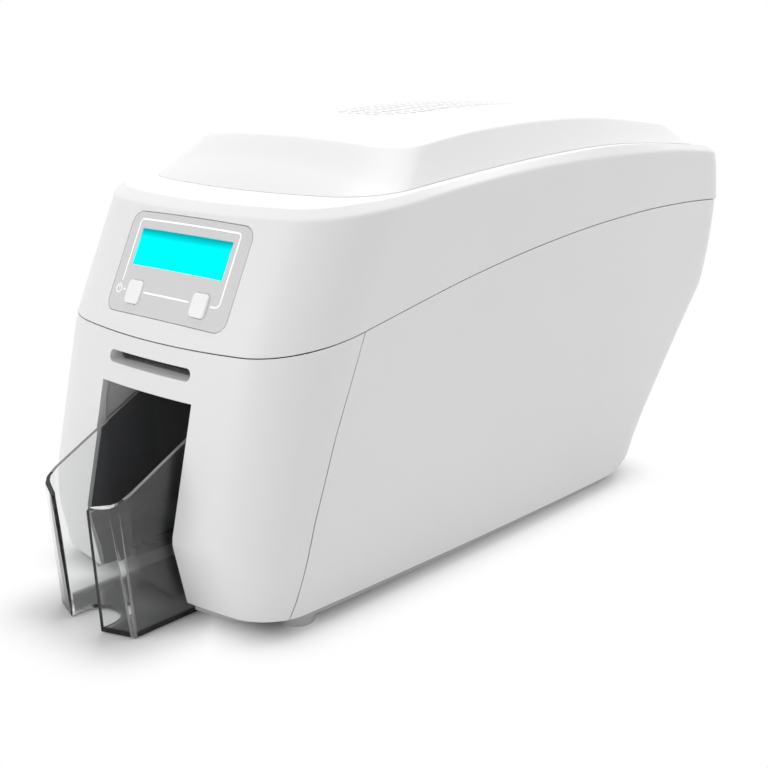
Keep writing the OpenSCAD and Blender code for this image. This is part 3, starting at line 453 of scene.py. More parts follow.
# The feet are pale grey rubber, a tone also set as painted shade, so that a foot in the shadow reads as
# the soft shadow around it.
FEET_RUBBER_PAINTED_SHADE = speckled("grey_rubber_painted_shade", (0.6, 0.6, 0.605), 0.75, 3200, 0.00008, 0.1, 0.1)
ROLLER_RUBBER = speckled("roller_rubber", (0.035, 0.036, 0.04), 0.62, 3600, 0.00008, 0.15, 0.1)
TACKY_BLUE = speckled("tacky_blue_rubber", (0.05, 0.16, 0.42), 0.3, 900, 0.00003, 0.05)
ZINC = speckled("zinc_plated_steel", (0.62, 0.63, 0.64), 0.32, 900, 0.00003, 0.06, 0.1, Metallic=1.0)
BRIGHT = speckled("bright_steel", (0.72, 0.72, 0.72), 0.2, 1500, 0.00002, 0.04, 0.06,
                  stretch=(1, 12, 12), Metallic=1.0)
CAST = speckled("cast_aluminium", (0.6, 0.61, 0.62), 0.42, 1500, 0.00008, 0.06, 0.1, Metallic=1.0)
BRASS = speckled("brass", (0.78, 0.57, 0.22), 0.25, 1800, 0.00002, 0.05, 0.06, Metallic=1.0)
SOLDER_MASK = speckled("green_solder_mask", (0.015, 0.13, 0.05), 0.25, 700, 0.00004, 0.15)
CHIP = speckled("chip_moulding", (0.02, 0.02, 0.022), 0.5, 2500, 0.00004, 0.1)
PANEL_GREY = speckled("panel_grey", (0.68, 0.68, 0.68), 0.5, 3000, 0.00002, 0.01, 0.05)
KEY_WHITE = speckled("key_white", (0.94, 0.94, 0.94), 0.45, 2800, 0.00003, 0.01)
# The ink's faint emission is a painted glow: print gives no light of its own.
INK_PAINTED_GLOW = speckled("white_ink_painted_glow", (0.97, 0.97, 0.97), 0.4, 2500, 0.00001, 0.005,
               Emission_Color=(1, 1, 1, 1), Emission_Strength=0.22)
# The slot lining is a mid grey, darker than the white walls in front of it; the difference is painted
# shade for the slot's deep end.
SLOT_LINING_PAINTED_SHADE = speckled("slot_lining_painted_shade", (0.3, 0.3, 0.305), 0.5, 2200, 0.00004, 0.04)
FILM_DYE = speckled("dye_film", (0.25, 0.06, 0.2), 0.14, 500, 0.00002, 0.2, 0.05,
                    stretch=(1, 20, 20))
FILM_USED = speckled("used_film", (0.09, 0.06, 0.1), 0.16, 500, 0.00002, 0.2, 0.05,
                     stretch=(1, 20, 20))
print(len(bpy.data.materials), "finishes so far")

# %% [markdown]
# ### Painted shade in the card bay
# The lining of the bay is light grey, painted dark up to the tray's sloping edge.
# That dark part is painted shade for the shade that lies behind the smoky tray.
# Painting the faces would need an edge in the mesh just there. A plane in the
# object's own coordinates parts the two tones instead, so the same finish serves
# every piece that lines the bay.

# %% Lining of the card bay
TRAY_EDGE = (-21.5, 68.0)
TRAY_SLOPE = 0.524
PAINTED_SHADE_BLEND = 0.5
# The dark tone is painted shade, for the shade seen behind the smoky tray.
LINING_PAINTED_SHADE = (0.16, 0.16, 0.165)
LINING_GREY = (0.78, 0.78, 0.78)
BAY_LINING_PAINTED_SHADE, tree, shader = finish("bay_lining_painted_shade", LINING_PAINTED_SHADE, 0.5)
edge_level = at(0, *TRAY_EDGE).z - TRAY_SLOPE * at(0, *TRAY_EDGE).y
painted_shade_line = level_share(tree, (0, -TRAY_SLOPE, 1), edge_level, edge_level + PAINTED_SHADE_BLEND * MM)
tree.links.new(ramp(tree, painted_shade_line, LINING_PAINTED_SHADE, LINING_GREY, 0, 1), shader.inputs["Base Color"])
bump(tree, shader, noise(tree, 2200, 2.0), 0.00004)

# %% [markdown]
# ## The lower housing
# Four mouldings make the lower housing: the front fascia, two side panels and
# a back panel. On the product they come from one styled form, parted by thin
# seams. So one skin is lofted first, from the foot to the lid's seam, and each
# panel is cut from a copy of it. The seam of the fascia is curved in the side
# view; shifting every corner by that curve makes it a flat plane, one plane
# cut parts it, and the shift is undone.

# %% The skin of the lower housing
FOOT_ROWS = 12
SIDE_ROWS = 18
CREASE_ROUND = 3.0


def seam_height(y):
    """The height of the seam below the lid."""
    return smooth(LID_SEAM, y)


def lower_level(row):
    """The height of one row of corners, as a function of y; rows crowd at the foot."""
    if row <= FOOT_ROWS:
        return lambda y: FOOT_Z + (smooth(CREASE, y) - FOOT_Z) * (row / FOOT_ROWS)**2
    share = (row - FOOT_ROWS) / SIDE_ROWS
    return lambda y: smooth(CREASE, y) + share * (seam_height(y) - LID_GAP / 2 - smooth(CREASE, y))


skin = mirrored(bent_grid(COLUMNS, FOOT_ROWS + SIDE_ROWS,
                          lambda c, r: body_corner(c, lower_level(r))))
round_line(skin, lambda y: smooth(CREASE, y), CREASE_ROUND)
print("skin of the lower housing:", len(skin.faces), "faces")


def cut_on_seam(bm, keep):
    """Keeps what lies in front of the fascia's seam, for 1, or behind it, for -1."""
    for v in bm.verts:
        v.co.y -= (straight(FASCIA, v.co.z / MM) - MID_Y) * MM
    cut(bm, (0, -keep * SEAM / 2 * MM, 0), (0, keep, 0))
    for v in bm.verts:
        v.co.y += (straight(FASCIA, v.co.z / MM) - MID_Y) * MM
    return bm


# %% [markdown]
# ### The front fascia
# The fascia holds the card bay and, above it, the slot for a single card. The
# bay is a rectangle, so it is cut by planes, and the bare edge is extruded
# backwards twice: first a short white lip, then the deep returns, which take
# the bay lining's finish with its painted shade. The slot has round ends, which
# booleans with a drawn pill shape give most simply: a wide pill is joined on as
# the slot's own walls, and a smaller one is cut through it.

# %% Sizes of the bay and the slot
BAY_HALF = 35.1
BAY_TOP = 112.4
BAY_LIP = 2.5
BAY_DEPTH = 18.0
SLOT_Z = 125.5
SLOT_HALF = 31.7
SLOT_HEIGHT = 6.4
SLOT_RIM = 1.6
SLOT_RETURN = 28.0
SLOT_CUT = (-5, 40)
RIM_REACH = 25
print("bay", 2 * BAY_HALF, "mm wide, slot", 2 * SLOT_HALF, "mm wide")


# %% A pill shape for slots
def pill(half_w, radius, y0, y1, z, steps=12):
    """A bar with round ends that runs along Y, from y0 to y1."""
    bm = bmesh.new()
    bmesh.ops.create_circle(bm, segments=4 * steps, radius=radius * MM, cap_ends=True)
    for v in bm.verts:
        v.co.x += math.copysign(half_w - radius, v.co.x) * MM
        v.co = at(v.co.x / MM, y0, v.co.y / MM + z)
    thicken(bm, y1 - y0, (0, 1, 0))
    return bm


def front_skin(x, z):
    """How far back the skin of the front lies at one place."""
    return straight(FRONT, z) + x * x / (2 * BODY_RADII[0])


# %% The fascia with its bay
fascia = cut_on_seam(skin.copy(), 1)
for point, normal in ((at(BAY_HALF, 0, 0), (1, 0, 0)), (at(-BAY_HALF, 0, 0), (-1, 0, 0)),
                      (at(0, 0, BAY_TOP), (0, 0, 1))):
    cut(fascia, point, normal, clear=False)


def in_bay(point, slack=0.0):
    """Whether a place lies within the opening, seen from the front."""
    return abs(point.x) < (BAY_HALF + slack) * MM and point.z < (BAY_TOP + slack) * MM


bay_faces = [f for f in fascia.faces if in_bay(f.calc_center_median())]
bmesh.ops.delete(fascia, geom=bay_faces, context="FACES")
rim = [e for e in fascia.edges if e.is_boundary
       and all(in_bay(v.co, 0.01) and v.co.y < at(0, RIM_REACH, 0).y for v in e.verts)
       and not all(v.co.z < at(0, 0, FOOT_Z + 0.01).z for v in e.verts)]
lip = bmesh.ops.extrude_edge_only(fascia, edges=rim)
lip_corners = set(new_corners(lip))
for v in lip_corners:
    v.co.y += BAY_LIP * MM
lip_edges = [g for g in lip["geom"] if isinstance(g, bmesh.types.BMEdge) and set(g.verts) <= lip_corners]
for v in new_corners(bmesh.ops.extrude_edge_only(fascia, edges=lip_edges)):
    v.co.y = max(at(0, BAY_DEPTH, 0).y, v.co.y + BAY_LIP / 2 * MM)
face_out(fascia)
fascia = mesh_object(fascia, "fascia_moulding")
give_wall(fascia)
print("fascia with its bay:", len(fascia.data.polygons), "faces")

# %% The slot for a single card
tube = pill(SLOT_HALF + SLOT_RIM, SLOT_HEIGHT / 2 + SLOT_RIM, 0, SLOT_RETURN, SLOT_Z)
for v in tube.verts:
    if v.co.y < at(0, SLOT_RETURN - 1, 0).y:
        v.co.y = at(0, front_skin(v.co.x / MM, v.co.z / MM) + WALL / 2, 0).y
carve(fascia, tube, "UNION")
carve(fascia, pill(SLOT_HALF, SLOT_HEIGHT / 2, *SLOT_CUT, SLOT_Z))
soften(fascia)
dress(fascia, "chassis", WHITE, "front_fascia")
# The deep returns take the bay lining, whose dark part below the tray's edge is painted shade.
fascia.data.materials.append(BAY_LINING_PAINTED_SHADE)
for face in fascia.data.polygons:
    x, y, z = (c / MM for c in face.center)
    if in_bay(face.center, 1) and y + MID_Y > front_skin(x, z) + BAY_LIP + 0.1:
        face.material_index = 1

# %% [markdown]
# ### Side and back panels
# The sides are mirror images that wrap round the rear corners up to the edges
# of the back panel. Each is what lies behind the fascia's seam on one side of
# the middle. The back panel is the strip between them, with a window for the
# sockets. A shrinkwrap over the CAD solid could give the same faces, but not
# their clean edges.

# %% Side panels
BACK_HALF = 62.0


def side_skin(sign):
    """One side: all of it in front, and past the back panel's edge behind."""
    bm = cut_on_seam(skin.copy(), -1)
    cut(bm, (sign * SEAT * MM, 0, 0), (-sign, 0, 0))
    cut(bm, (sign * (BACK_HALF + SEAM / 2) * MM, 0, 0), (-sign, 0, 0), clear=False)
    behind = [f for f in bm.faces if f.calc_center_median().y > 0
              and abs(f.calc_center_median().x) < (BACK_HALF + SEAM / 2) * MM]
    bmesh.ops.delete(bm, geom=behind, context="FACES")
    face_out(bm, Vector((sign, 0, 0)))
    return bm


for sign, side in ((-1, "left"), (1, "right")):
    obj = mesh_object(side_skin(sign), side + "_side_moulding")
    give_wall(obj)
    soften(obj)
    dress(obj, "chassis", WHITE, side + "_side_panel")

# %% Back panel
SOCKET_Z = 141.0
SOCKET_HALF_W = 46.0
SOCKET_HALF_H = 13.0
back = skin.copy()
cut(back, at(0, LENGTH / 2, 0), (0, -1, 0))
for sign in (-1, 1):
    cut(back, (sign * (BACK_HALF - SEAM / 2) * MM, 0, 0), (sign, 0, 0))
face_out(back, Vector((0, 1, 0)))
back = mesh_object(back, "back_moulding")
give_wall(back)
carve(back, box(-SOCKET_HALF_W, SOCKET_HALF_W, LENGTH / 2, LENGTH + 20,
                SOCKET_Z - SOCKET_HALF_H, SOCKET_Z + SOCKET_HALF_H))
soften(back)
dress(back, "chassis", WHITE, "rear_panel")

# %% [markdown]
# ## The lid
# The lid is a shallow shell: a side band that follows the seam, a narrow bevel
# all round, and a deck that the raised cover stands on. Its control face is
# the front of the same band. It is lofted like the lower housing; the deck is
# the same grid drawn in towards the middle line. Under the raised cover the
# deck is open, so that the air of the print head can rise.

# %% Lid shell
BAND_ROWS = 12
BEVEL_ROWS = 2
DECK_ROWS = 10
BEVEL_IN = 4.0
EDGE_ROUND = 1.2
AIR_HALF = 44.0
AIR_Y = (168.0, 304.0)
AIR_Z = (200, 240)


def lid_foot(y):
    """The lower edge of the lid."""
    return seam_height(y) + LID_GAP / 2


def lid_corner(column, row):
    """A corner of the lid: up the band, over the bevel, then in across the deck."""
    if row <= BAND_ROWS:
        share = row / BAND_ROWS
        return body_corner(
            column, lambda y: lid_foot(y) + share * (smooth(BEVEL, y) - lid_foot(y)), LID_REAR)
    if row <= BAND_ROWS + BEVEL_ROWS:
        share = (row - BAND_ROWS) / BEVEL_ROWS
        return body_corner(
            column, lambda y: smooth(BEVEL, y) + share * (smooth(DECK, y) - smooth(BEVEL, y)),
            LID_REAR, BEVEL_IN * share)
    share = (row - BAND_ROWS - BEVEL_ROWS) / DECK_ROWS
    edge = body_corner(column, lambda y: smooth(DECK, y), LID_REAR, BEVEL_IN)
    return Vector((edge.x * (1 - share), edge.y, edge.z))


lid = mirrored(bent_grid(COLUMNS, BAND_ROWS + BEVEL_ROWS + DECK_ROWS, lid_corner))
for line in (BEVEL, DECK):
    round_line(lid, lambda y: smooth(line, y), EDGE_ROUND, 3)
face_out(lid)
lid = mesh_object(lid, "lid_moulding")
give_wall(lid)
carve(lid, box(-AIR_HALF, AIR_HALF, *AIR_Y, *AIR_Z))
print("lid:", len(lid.data.polygons), "faces")

# %% [markdown]
# ### The control face
# The panel lies on the sloping front, which is a part of a wide cylinder. It is
# easiest to draw the panel flat, in its own frame with X to the right, Y up the
# slope and Z outwards, then bend it over the cylinder and move it into place.
# The lid has a recess with a flared mouth for it, drawn in the same frame.

# %% The frame of the control face
LCD_Z = 170.65
(low_z, low_y), (high_z, high_y) = FRONT[2:]
FACE_LEAN = math.atan2(high_y - low_y, high_z - low_z)
FACE_RADIUS = BODY_RADII[0] / math.cos(FACE_LEAN)
FACE = (Matrix.Translation(at(0, straight(FRONT, LCD_Z), LCD_Z))
        @ Matrix.Rotation(math.pi / 2 - FACE_LEAN, 4, "X"))
PLATE_HALF = 46.0
PLATE_HEIGHT = 54.2
PLATE_MID = 1.6
PLATE_ROUND = 7.0
PLATE_PROUD = -0.7
PLATE_DEEP = 1.9
BEND_STEP = 6.0
print("control face leans by", round(math.degrees(FACE_LEAN), 1), "degrees")


# %% Drawing on the control face
def rounded_plate(bm, half_w, height, mid, radius, z, steps=10):
    """A flat plate with round corners at level z, in the face's own frame."""
    made = bmesh.ops.create_circle(bm, segments=4 * (steps + 1), radius=1, cap_ends=True)
    for k, v in enumerate(made["verts"]):
        corner, step = divmod(k, steps + 1)
        turn = (corner + step / steps) * math.pi / 2
        sx = 1 if corner in (0, 3) else -1
        sy = 1 if corner in (0, 1) else -1
        v.co = Vector((sx * (half_w - radius) + radius * math.cos(turn),
                       mid + sy * (height / 2 - radius) + radius * math.sin(turn), z)) * MM


def onto_face(bm, bend=True):
    """Bends a flat drawing over the face's cylinder and moves it there."""
    if bend:
        reach = max(abs(v.co.x) for v in bm.verts) / MM
        count = int(reach // BEND_STEP)
        for k in range(-count, count + 1):
            cut(bm, (k * BEND_STEP * MM, 0, 0), (1, 0, 0), clear=False)
        for v in bm.verts:
            x = v.co.x / MM
            v.co.z -= (FACE_RADIUS - math.sqrt(FACE_RADIUS**2 - x * x)) * MM
    bmesh.ops.transform(bm, matrix=FACE, verts=bm.verts[:])
    return bm


def drawn_plate(half_w, height, mid, radius, low, high, x=0.0, bend=True):
    """A rounded plate between two levels, in its place on the face."""
    bm = bmesh.new()
    rounded_plate(bm, half_w, height, mid, radius, low)
    bmesh.ops.translate(bm, verts=bm.verts[:], vec=(x * MM, 0, 0))
    thicken(bm, high - low)
    return onto_face(bm, bend)


# %% [markdown]
# The recess has straight walls below the panel's level and a mouth that flares
# above it, so a soft slope leads down to the panel. The flare is the recess's
# own outline, drawn on upwards and scaled up on the way. A bevel could make the
# slope too, but it would follow every uneven corner that a boolean leaves.

# %% The recess in the lid
RECESS_DEEP = 6
MOUTH_FLARE = 2.0
MOUTH_RISE = 6.0


def recess():
    """The shape that is cut out of the lid for the panel."""
    bm = bmesh.new()
    rounded_plate(bm, PLATE_HALF + SEAT, PLATE_HEIGHT + 2 * SEAT, PLATE_MID, PLATE_ROUND + SEAT,
                  -RECESS_DEEP)
    thicken(bm, RECESS_DEEP + PLATE_PROUD)
    top = [f for f in bm.faces if all(v.co.z > (PLATE_PROUD - 0.1) * MM for v in f.verts)]
    grown = bmesh.ops.extrude_face_region(bm, geom=top)
    widen = MOUTH_FLARE * MOUTH_RISE / -PLATE_PROUD
    for v in new_corners(grown):
        v.co.z += MOUTH_RISE * MM
        v.co.x *= 1 + widen / PLATE_HALF
        v.co.y += (v.co.y - PLATE_MID * MM) * widen / (PLATE_HEIGHT / 2)
    bmesh.ops.delete(bm, geom=[f for f in top if f.is_valid], context="FACES_ONLY")
    bmesh.ops.recalc_face_normals(bm, faces=bm.faces[:])
    return onto_face(bm)


carve(lid, recess())
soften(lid)
dress(lid, "lid", WHITE, "lid_shell")

# %% [markdown]
# ### The panel, its window and its keys
# The panel is a thin printed sheet on a moulded plate, with a window over the
# display and two square windows for the keys. All three windows are cut with
# straight-sided shapes, since a mould opens in one direction.

# %% Control panel plate
LCD_HALF = 34.9
LCD_HEIGHT = 19.7
LCD_ROUND = 0.4
KEY_X = 25.3
KEY_W = 11.5
KEY_H = 12.6
KEY_S = -14.15
KEY_ROUND = 2.5
KEY_GAP = 0.15
THROUGH = 9

plate = mesh_object(drawn_plate(PLATE_HALF, PLATE_HEIGHT, PLATE_MID, PLATE_ROUND,
                                PLATE_PROUD - PLATE_DEEP, PLATE_PROUD), "panel_plate")
carve(plate, drawn_plate(LCD_HALF, LCD_HEIGHT, LCD_HEIGHT / 2, LCD_ROUND, -THROUGH, THROUGH, bend=False))
for sign in (-1, 1):
    carve(plate, drawn_plate(KEY_W / 2 + KEY_GAP, KEY_H + 2 * KEY_GAP, KEY_S, KEY_ROUND + KEY_GAP,
                             -THROUGH, THROUGH, sign * KEY_X, bend=False))
soften(plate, 0.25)
dress(plate, "lid", PANEL_GREY, "control_panel_plate")

# %% [markdown]
# The display shines blue-green by itself. Its window lies a little below the
# panel, so the panel's edge shades the top of it. The display's own light would
# hide that shade, so a slow ramp in the colour paints it, darker towards the top
# edge. A lamp behind a clear window would light it too, but unevenly and with
# much noise.

# %% The light of the display
GLASS_SUNK = 0.2
WINDOW_Z = PLATE_PROUD - LCD_HALF**2 / (2 * FACE_RADIUS) - GLASS_SUNK
GLOW_LEVEL = 0.75
SHADE_START = 0.6
lcd, tree, shader = finish("lit_display", (0.0, 0.75, 0.78), 0.6, Specular_IOR_Level=0.0)
low_edge = FACE @ (Vector((0, 0, WINDOW_Z)) * MM)
high_edge = FACE @ (Vector((0, LCD_HEIGHT, WINDOW_Z)) * MM)
height = level_share(tree, (0, 0, 1), low_edge.z, high_edge.z)
# Both ramps turn darker towards the top edge: painted shade from the panel's edge.
glow_with_painted_shade = ramp(tree, height, (0.0, 1.0, 1.0), (0.0, 0.24, 0.26), SHADE_START, 1.0)
tree.links.new(glow_with_painted_shade, shader.inputs["Emission Color"])
shader.inputs["Emission Strength"].default_value = GLOW_LEVEL
tree.links.new(ramp(tree, height, (0.0, 0.8, 0.82), (0.0, 0.25, 0.27), SHADE_START, 1.0),
               shader.inputs["Base Color"])
print("display from", round(low_edge.z / MM, 1), "to", round(high_edge.z / MM, 1), "mm high")

# %% Display window
GLASS_GAP = 0.1
GLASS_THICK = 1.4
glass = drawn_plate(LCD_HALF - GLASS_GAP, LCD_HEIGHT - 2 * GLASS_GAP, LCD_HEIGHT / 2, LCD_ROUND,
                    WINDOW_Z - GLASS_THICK, WINDOW_Z, bend=False)
window = mesh_object(glass, "display_glass")
soften(window, 0.15)
dress(window, "lid", lcd, "display_window")

# %% [markdown]
# ### The keys
# Each key is a short rounded block that stands a little proud of the panel. A
# wide soft bevel gives it the crowned top that a finger feels for.

# %% Keys
KEY_PROUD = 0.9
KEY_TALL = 6
KEY_CROWN = 0.8
KEY_TOP = PLATE_PROUD - KEY_X**2 / (2 * FACE_RADIUS) + KEY_PROUD
for sign, side in ((-1, "left"), (1, "right")):
    key = mesh_object(drawn_plate(KEY_W / 2, KEY_H, KEY_S, KEY_ROUND, KEY_TOP - KEY_TALL, KEY_TOP,
                                  sign * KEY_X, bend=False), side + "_key")
    soften(key, KEY_CROWN, segments=4)
    dress(key, "button_a" if sign < 0 else "button_b", KEY_WHITE, "button_" + side)

# %% [markdown]
# ### Printed lines
# A white line frames the display, runs down to the keys and joins them, and a
# power sign stands at its end. A pattern in the panel's colour could draw it,
# but the print is made as a raised film of ink a few hundredths of a millimetre
# thick, so it is also there in the bare mesh. The ink is given a faint painted
# glow, painted light that makes it brighter than the lamps alone would.

# %% White print on the panel
LINE_W = 0.95
INK_UP = 0.05
INK_THICK = 0.04
STROKE_STEP = 3


def ink_stroke(bm, points, width=LINE_W):
    """Adds a flat band along a line of points."""
    for (x0, y0), (x1, y1) in zip(points, points[1:]):
        along = Vector((x1 - x0, y1 - y0, 0))
        made = bmesh.ops.create_grid(bm, x_segments=max(1, int(along.length / STROKE_STEP)),
                                     y_segments=1, size=0.5)
        turn = Matrix.Rotation(math.atan2(along.y, along.x), 4, "Z")
        middle = Matrix.Translation(Vector(((x0 + x1) / 2, (y0 + y1) / 2, 0)))
        size = Matrix.Diagonal((along.length + width * 0.4, width, 1, 1))
        bmesh.ops.transform(bm, matrix=Matrix.Scale(MM, 4) @ middle @ turn @ size, verts=made["verts"])


def arc(x, y, radius, start, end, steps=8):
    """Points along a part of a circle, from one angle to another."""
    return [(x + radius * math.cos(math.radians(start + (end - start) * k / steps)),
             y + radius * math.sin(math.radians(start + (end - start) * k / steps)))
            for k in range(steps + 1)]


FRAME_X = 38.5
FRAME_TOP = 24.6
FRAME_FOOT = -9.0
FRAME_ROUND = 2
CORNER_ROUND = 3
LINE_Y = -13.6
LINE_START = KEY_X - KEY_W / 2 - 1.8
LINE_END = KEY_X + KEY_W / 2 + 1.8
DASH = (-35.6, -33.6)
POWER_X = -39.5
POWER_ROUND = 2.2
POWER_W = 0.75
print_lines = bmesh.new()
ink_stroke(print_lines, [(-FRAME_X, FRAME_FOOT)]
           + arc(-FRAME_X + FRAME_ROUND, FRAME_TOP - FRAME_ROUND, FRAME_ROUND, 180, 90)
           + arc(FRAME_X - FRAME_ROUND, FRAME_TOP - FRAME_ROUND, FRAME_ROUND, 90, 0)
           + arc(FRAME_X - CORNER_ROUND, LINE_Y + CORNER_ROUND, CORNER_ROUND, 0, -90)
           + [(LINE_END, LINE_Y)])
ink_stroke(print_lines, [(-LINE_START, LINE_Y), (LINE_START, LINE_Y)])
ink_stroke(print_lines, [(x, LINE_Y) for x in DASH])
ink_stroke(print_lines, arc(POWER_X, LINE_Y, POWER_ROUND, 120, 420, 20), POWER_W)
ink_stroke(print_lines, [(POWER_X, LINE_Y + 0.4), (POWER_X, LINE_Y + 3.0)], POWER_W)
for v in print_lines.verts:
    v.co.z = (PLATE_PROUD + INK_UP) * MM
print_lines = mesh_object(onto_face(print_lines, bend=True), "panel_print")
give_wall(print_lines, INK_THICK)
dress(print_lines, "lid", INK_PAINTED_GLOW, slot="control_panel_plate")

# %% [markdown]
# ## The raised cover
# The cover is a loft of its own: a foot on the deck, walls that lean in, a
# crisp rim, and a crown that curves both ways. A subdivided cage would give the
# same calm faces, but its rim would wander; here every corner is where the
# measured curves say.

# %% Top cover
COVER_HALF = 93.0
RIM_HALF = 80.5
BASE_RADII = (370, 33, 5500, 33, 900)
RIM_RADII = (350, 26, 5500, 26, 900)
CROWN_DROP = 6.0
CROWN_TRIM = 0.8
SPINE = (165, 355)
RIM_ROUND = 1.6
COVER_FRONT, COVER_REAR = 81.0, 425.0
RIM_FRONT, RIM_REAR = 114.5, 403.0
SIDE_WALL_ROWS = 10
CROWN_ROWS = 14


def crown_z(x, y):
    """The height of the crown, which falls towards both sides."""
    return smooth(CROWN, y) - CROWN_DROP * (x / RIM_HALF)**2 - CROWN_TRIM


def cover_corner(column, row):
    """A corner of the cover: up the wall, then in across the crown to its spine."""
    share = min(row / SIDE_WALL_ROWS, 1)
    radii = [a + (b - a) * share for a, b in zip(BASE_RADII, RIM_RADII)]
    p = outline(column, COVER_FRONT + (RIM_FRONT - COVER_FRONT) * share,
                COVER_REAR + (RIM_REAR - COVER_REAR) * share,
                COVER_HALF + (RIM_HALF - COVER_HALF) * share, radii)
    if row <= SIDE_WALL_ROWS:
        low = smooth(DECK, p.y) + SEAT
        return at(p.x, p.y, low + (crown_z(p.x, p.y) - low) * share)
    inward = (row - SIDE_WALL_ROWS) / CROWN_ROWS
    spine = Vector((0, min(max(p.y, SPINE[0]), SPINE[1])))
    q = p + (spine - p) * inward
    return at(q.x, q.y, crown_z(q.x, q.y))


def rim_edges(bm):
    """The edges between the walls and the crown of the cover."""
    rim = [cover_corner(c, SIDE_WALL_ROWS) for c in range(COLUMNS + 1)]
    keys = {(round(abs(p.x), 5), round(p.y, 5)) for p in rim}
    def on_rim(v):
        return (round(abs(v.co.x), 5), round(v.co.y, 5)) in keys
    return [e for e in bm.edges if on_rim(e.verts[0]) and on_rim(e.verts[1])]


cover = mirrored(bent_grid(COLUMNS, SIDE_WALL_ROWS + CROWN_ROWS, cover_corner))
bmesh.ops.bevel(cover, geom=rim_edges(cover), offset=RIM_ROUND * MM, offset_type="OFFSET", segments=4,
                profile=0.5, affect="EDGES", clamp_overlap=True, material=-1)
face_out(cover)
cover = mesh_object(cover, "top_cover_moulding")
give_wall(cover)
print("cover:", len(cover.data.polygons), "faces")

# %% [markdown]
# ### The cooling slots
# Rows of short slots let the warm air of the print head out. The rows grow
# shorter towards both ends, so the field of slots has a round outline. All
# slots are one mesh, so a single boolean cuts them at once.

# %% Cooling slots
VENT_ROWS = 20
VENT_PITCH = 6.2
VENT_FRONT = 177.0
VENT_REACH = 30.0
VENT_W = 2.2
VENT_PARTS = 5
VENT_BAR = 5.5
VENT_TAPER = 6
VENT_SHORT = (5, 4)
VENT_Z = 215
VENT_CUT = 50
slots = bmesh.new()
for k in range(VENT_ROWS):
    past = max(0, VENT_SHORT[0] - k, k - VENT_ROWS + VENT_SHORT[1])
    half = VENT_REACH * math.sqrt(1 - (past / VENT_TAPER)**2)
    for j in range(VENT_PARTS):
        ring = bmesh.ops.create_circle(slots, segments=12, radius=VENT_W / 2 * MM, cap_ends=True)["verts"]
        for v in ring:
            v.co.x += math.copysign((half - VENT_BAR) / VENT_PARTS - VENT_W / 2, v.co.x) * MM
            v.co += at((2 * j + 1 - VENT_PARTS) * half / VENT_PARTS, VENT_FRONT + k * VENT_PITCH, VENT_Z)
thicken(slots, VENT_CUT)
carve(cover, slots)
soften(cover, 0.25)
dress(cover, "lid", WHITE, "top_cover")

# %% [markdown]
# ## Carried-over solids
# The pieces inside have the right shape already. They could take a material as
# they are, but their meshes are loose triangles with knife edges. So a merged
# copy of each is softened along its edges and shaded smoothly, and it takes its
# own finish.

# %% Softened copies of the CAD solids
def refine(node, body, material, bevel=0.25, angle=35):
    """A merged copy of a CAD solid with soft edges, in the solid's place."""
    bm = bmesh.new()
    bm.from_mesh(nodes[node].data)
    bmesh.ops.remove_doubles(bm, verts=bm.verts[:], dist=1e-6)
    bmesh.ops.dissolve_limit(bm, angle_limit=math.radians(1), verts=bm.verts[:], edges=bm.edges[:])
    obj = mesh_object(bm, node + "_finished")
    soften(obj, bevel, angle)
    return dress(obj, body, material, node)


body_of = {n: b for b, members in frame["record"]["behaviour"]["bodies"].items() for n in members}
SOFTENED = {
    "base_pan": PAN_PAINTED_SHADE, "rubber_feet": FEET_RUBBER_PAINTED_SHADE, "frame_plate_left": ZINC, "frame_plate_right": ZINC,
    "frame_tie_bars": BRIGHT, "hopper_bay_liner": BAY_LINING_PAINTED_SHADE, "feed_slot_liner": SLOT_LINING_PAINTED_SHADE,
    "card_guide": CHARCOAL, "circuit_board": SOLDER_MASK, "board_parts": CHIP,
    "connector_plate": ZINC, "power_inlet": BLACK, "usb_socket": BRIGHT, "network_socket": BRIGHT,
    "drive_motor": CAST, "hinge_pins": BRIGHT, "ball_catches": BRIGHT, "dye_film_web": FILM_DYE,
    "feed_roller": ROLLER_RUBBER, "drive_roller": ROLLER_RUBBER, "platen_roller": ROLLER_RUBBER,
    "exit_roller": ROLLER_RUBBER, "cleaning_roller": TACKY_BLUE, "pinch_roller_front": ROLLER_RUBBER,
    "pinch_roller_rear": ROLLER_RUBBER, "feed_gear": NATURAL, "drive_gear": NATURAL,
    "platen_gear": NATURAL, "exit_gear": NATURAL, "idler_gear_front": NATURAL,
    "idler_gear_middle": NATURAL, "idler_gear_rear": NATURAL, "take_up_gear": NATURAL,
    "motor_pinion": BRASS, "supply_spool": NATURAL, "take_up_spool": NATURAL,
    "supply_film": FILM_DYE, "take_up_film": FILM_USED, "lid_chassis": ZINC,
    "lid_hinge_arms": CAST, "lid_tongues": BRIGHT, "display_frame": WHITE,
    "display_module": BLACK, "control_board": SOLDER_MASK, "printhead_bracket": ZINC,
    "printhead_carrier": CAST, "printhead_heatsink": CAST, "fan_housing": BLACK,
    "fan_impeller": CHARCOAL}
for node, material in SOFTENED.items():
    refine(node, body_of[node], material)

# %% [markdown]
# ## The card tray
# The tray is one clear moulding whose tint is darker towards its base. Clear
# plastic shows its shape through its edges, so they are rounded a little more
# than elsewhere, and the shader lets the light through with the refraction of
# acrylic. Glass alone would leave the upper rims nearly unseen against the dark
# bay, so the narrow faces are painted grey: painted reflection and shade for the
# way light bends through the edges of clear plastic.

# %% Smoked acrylic
TRAY_BASE = 4.5
CLEAR = (0.93, 0.935, 0.94)
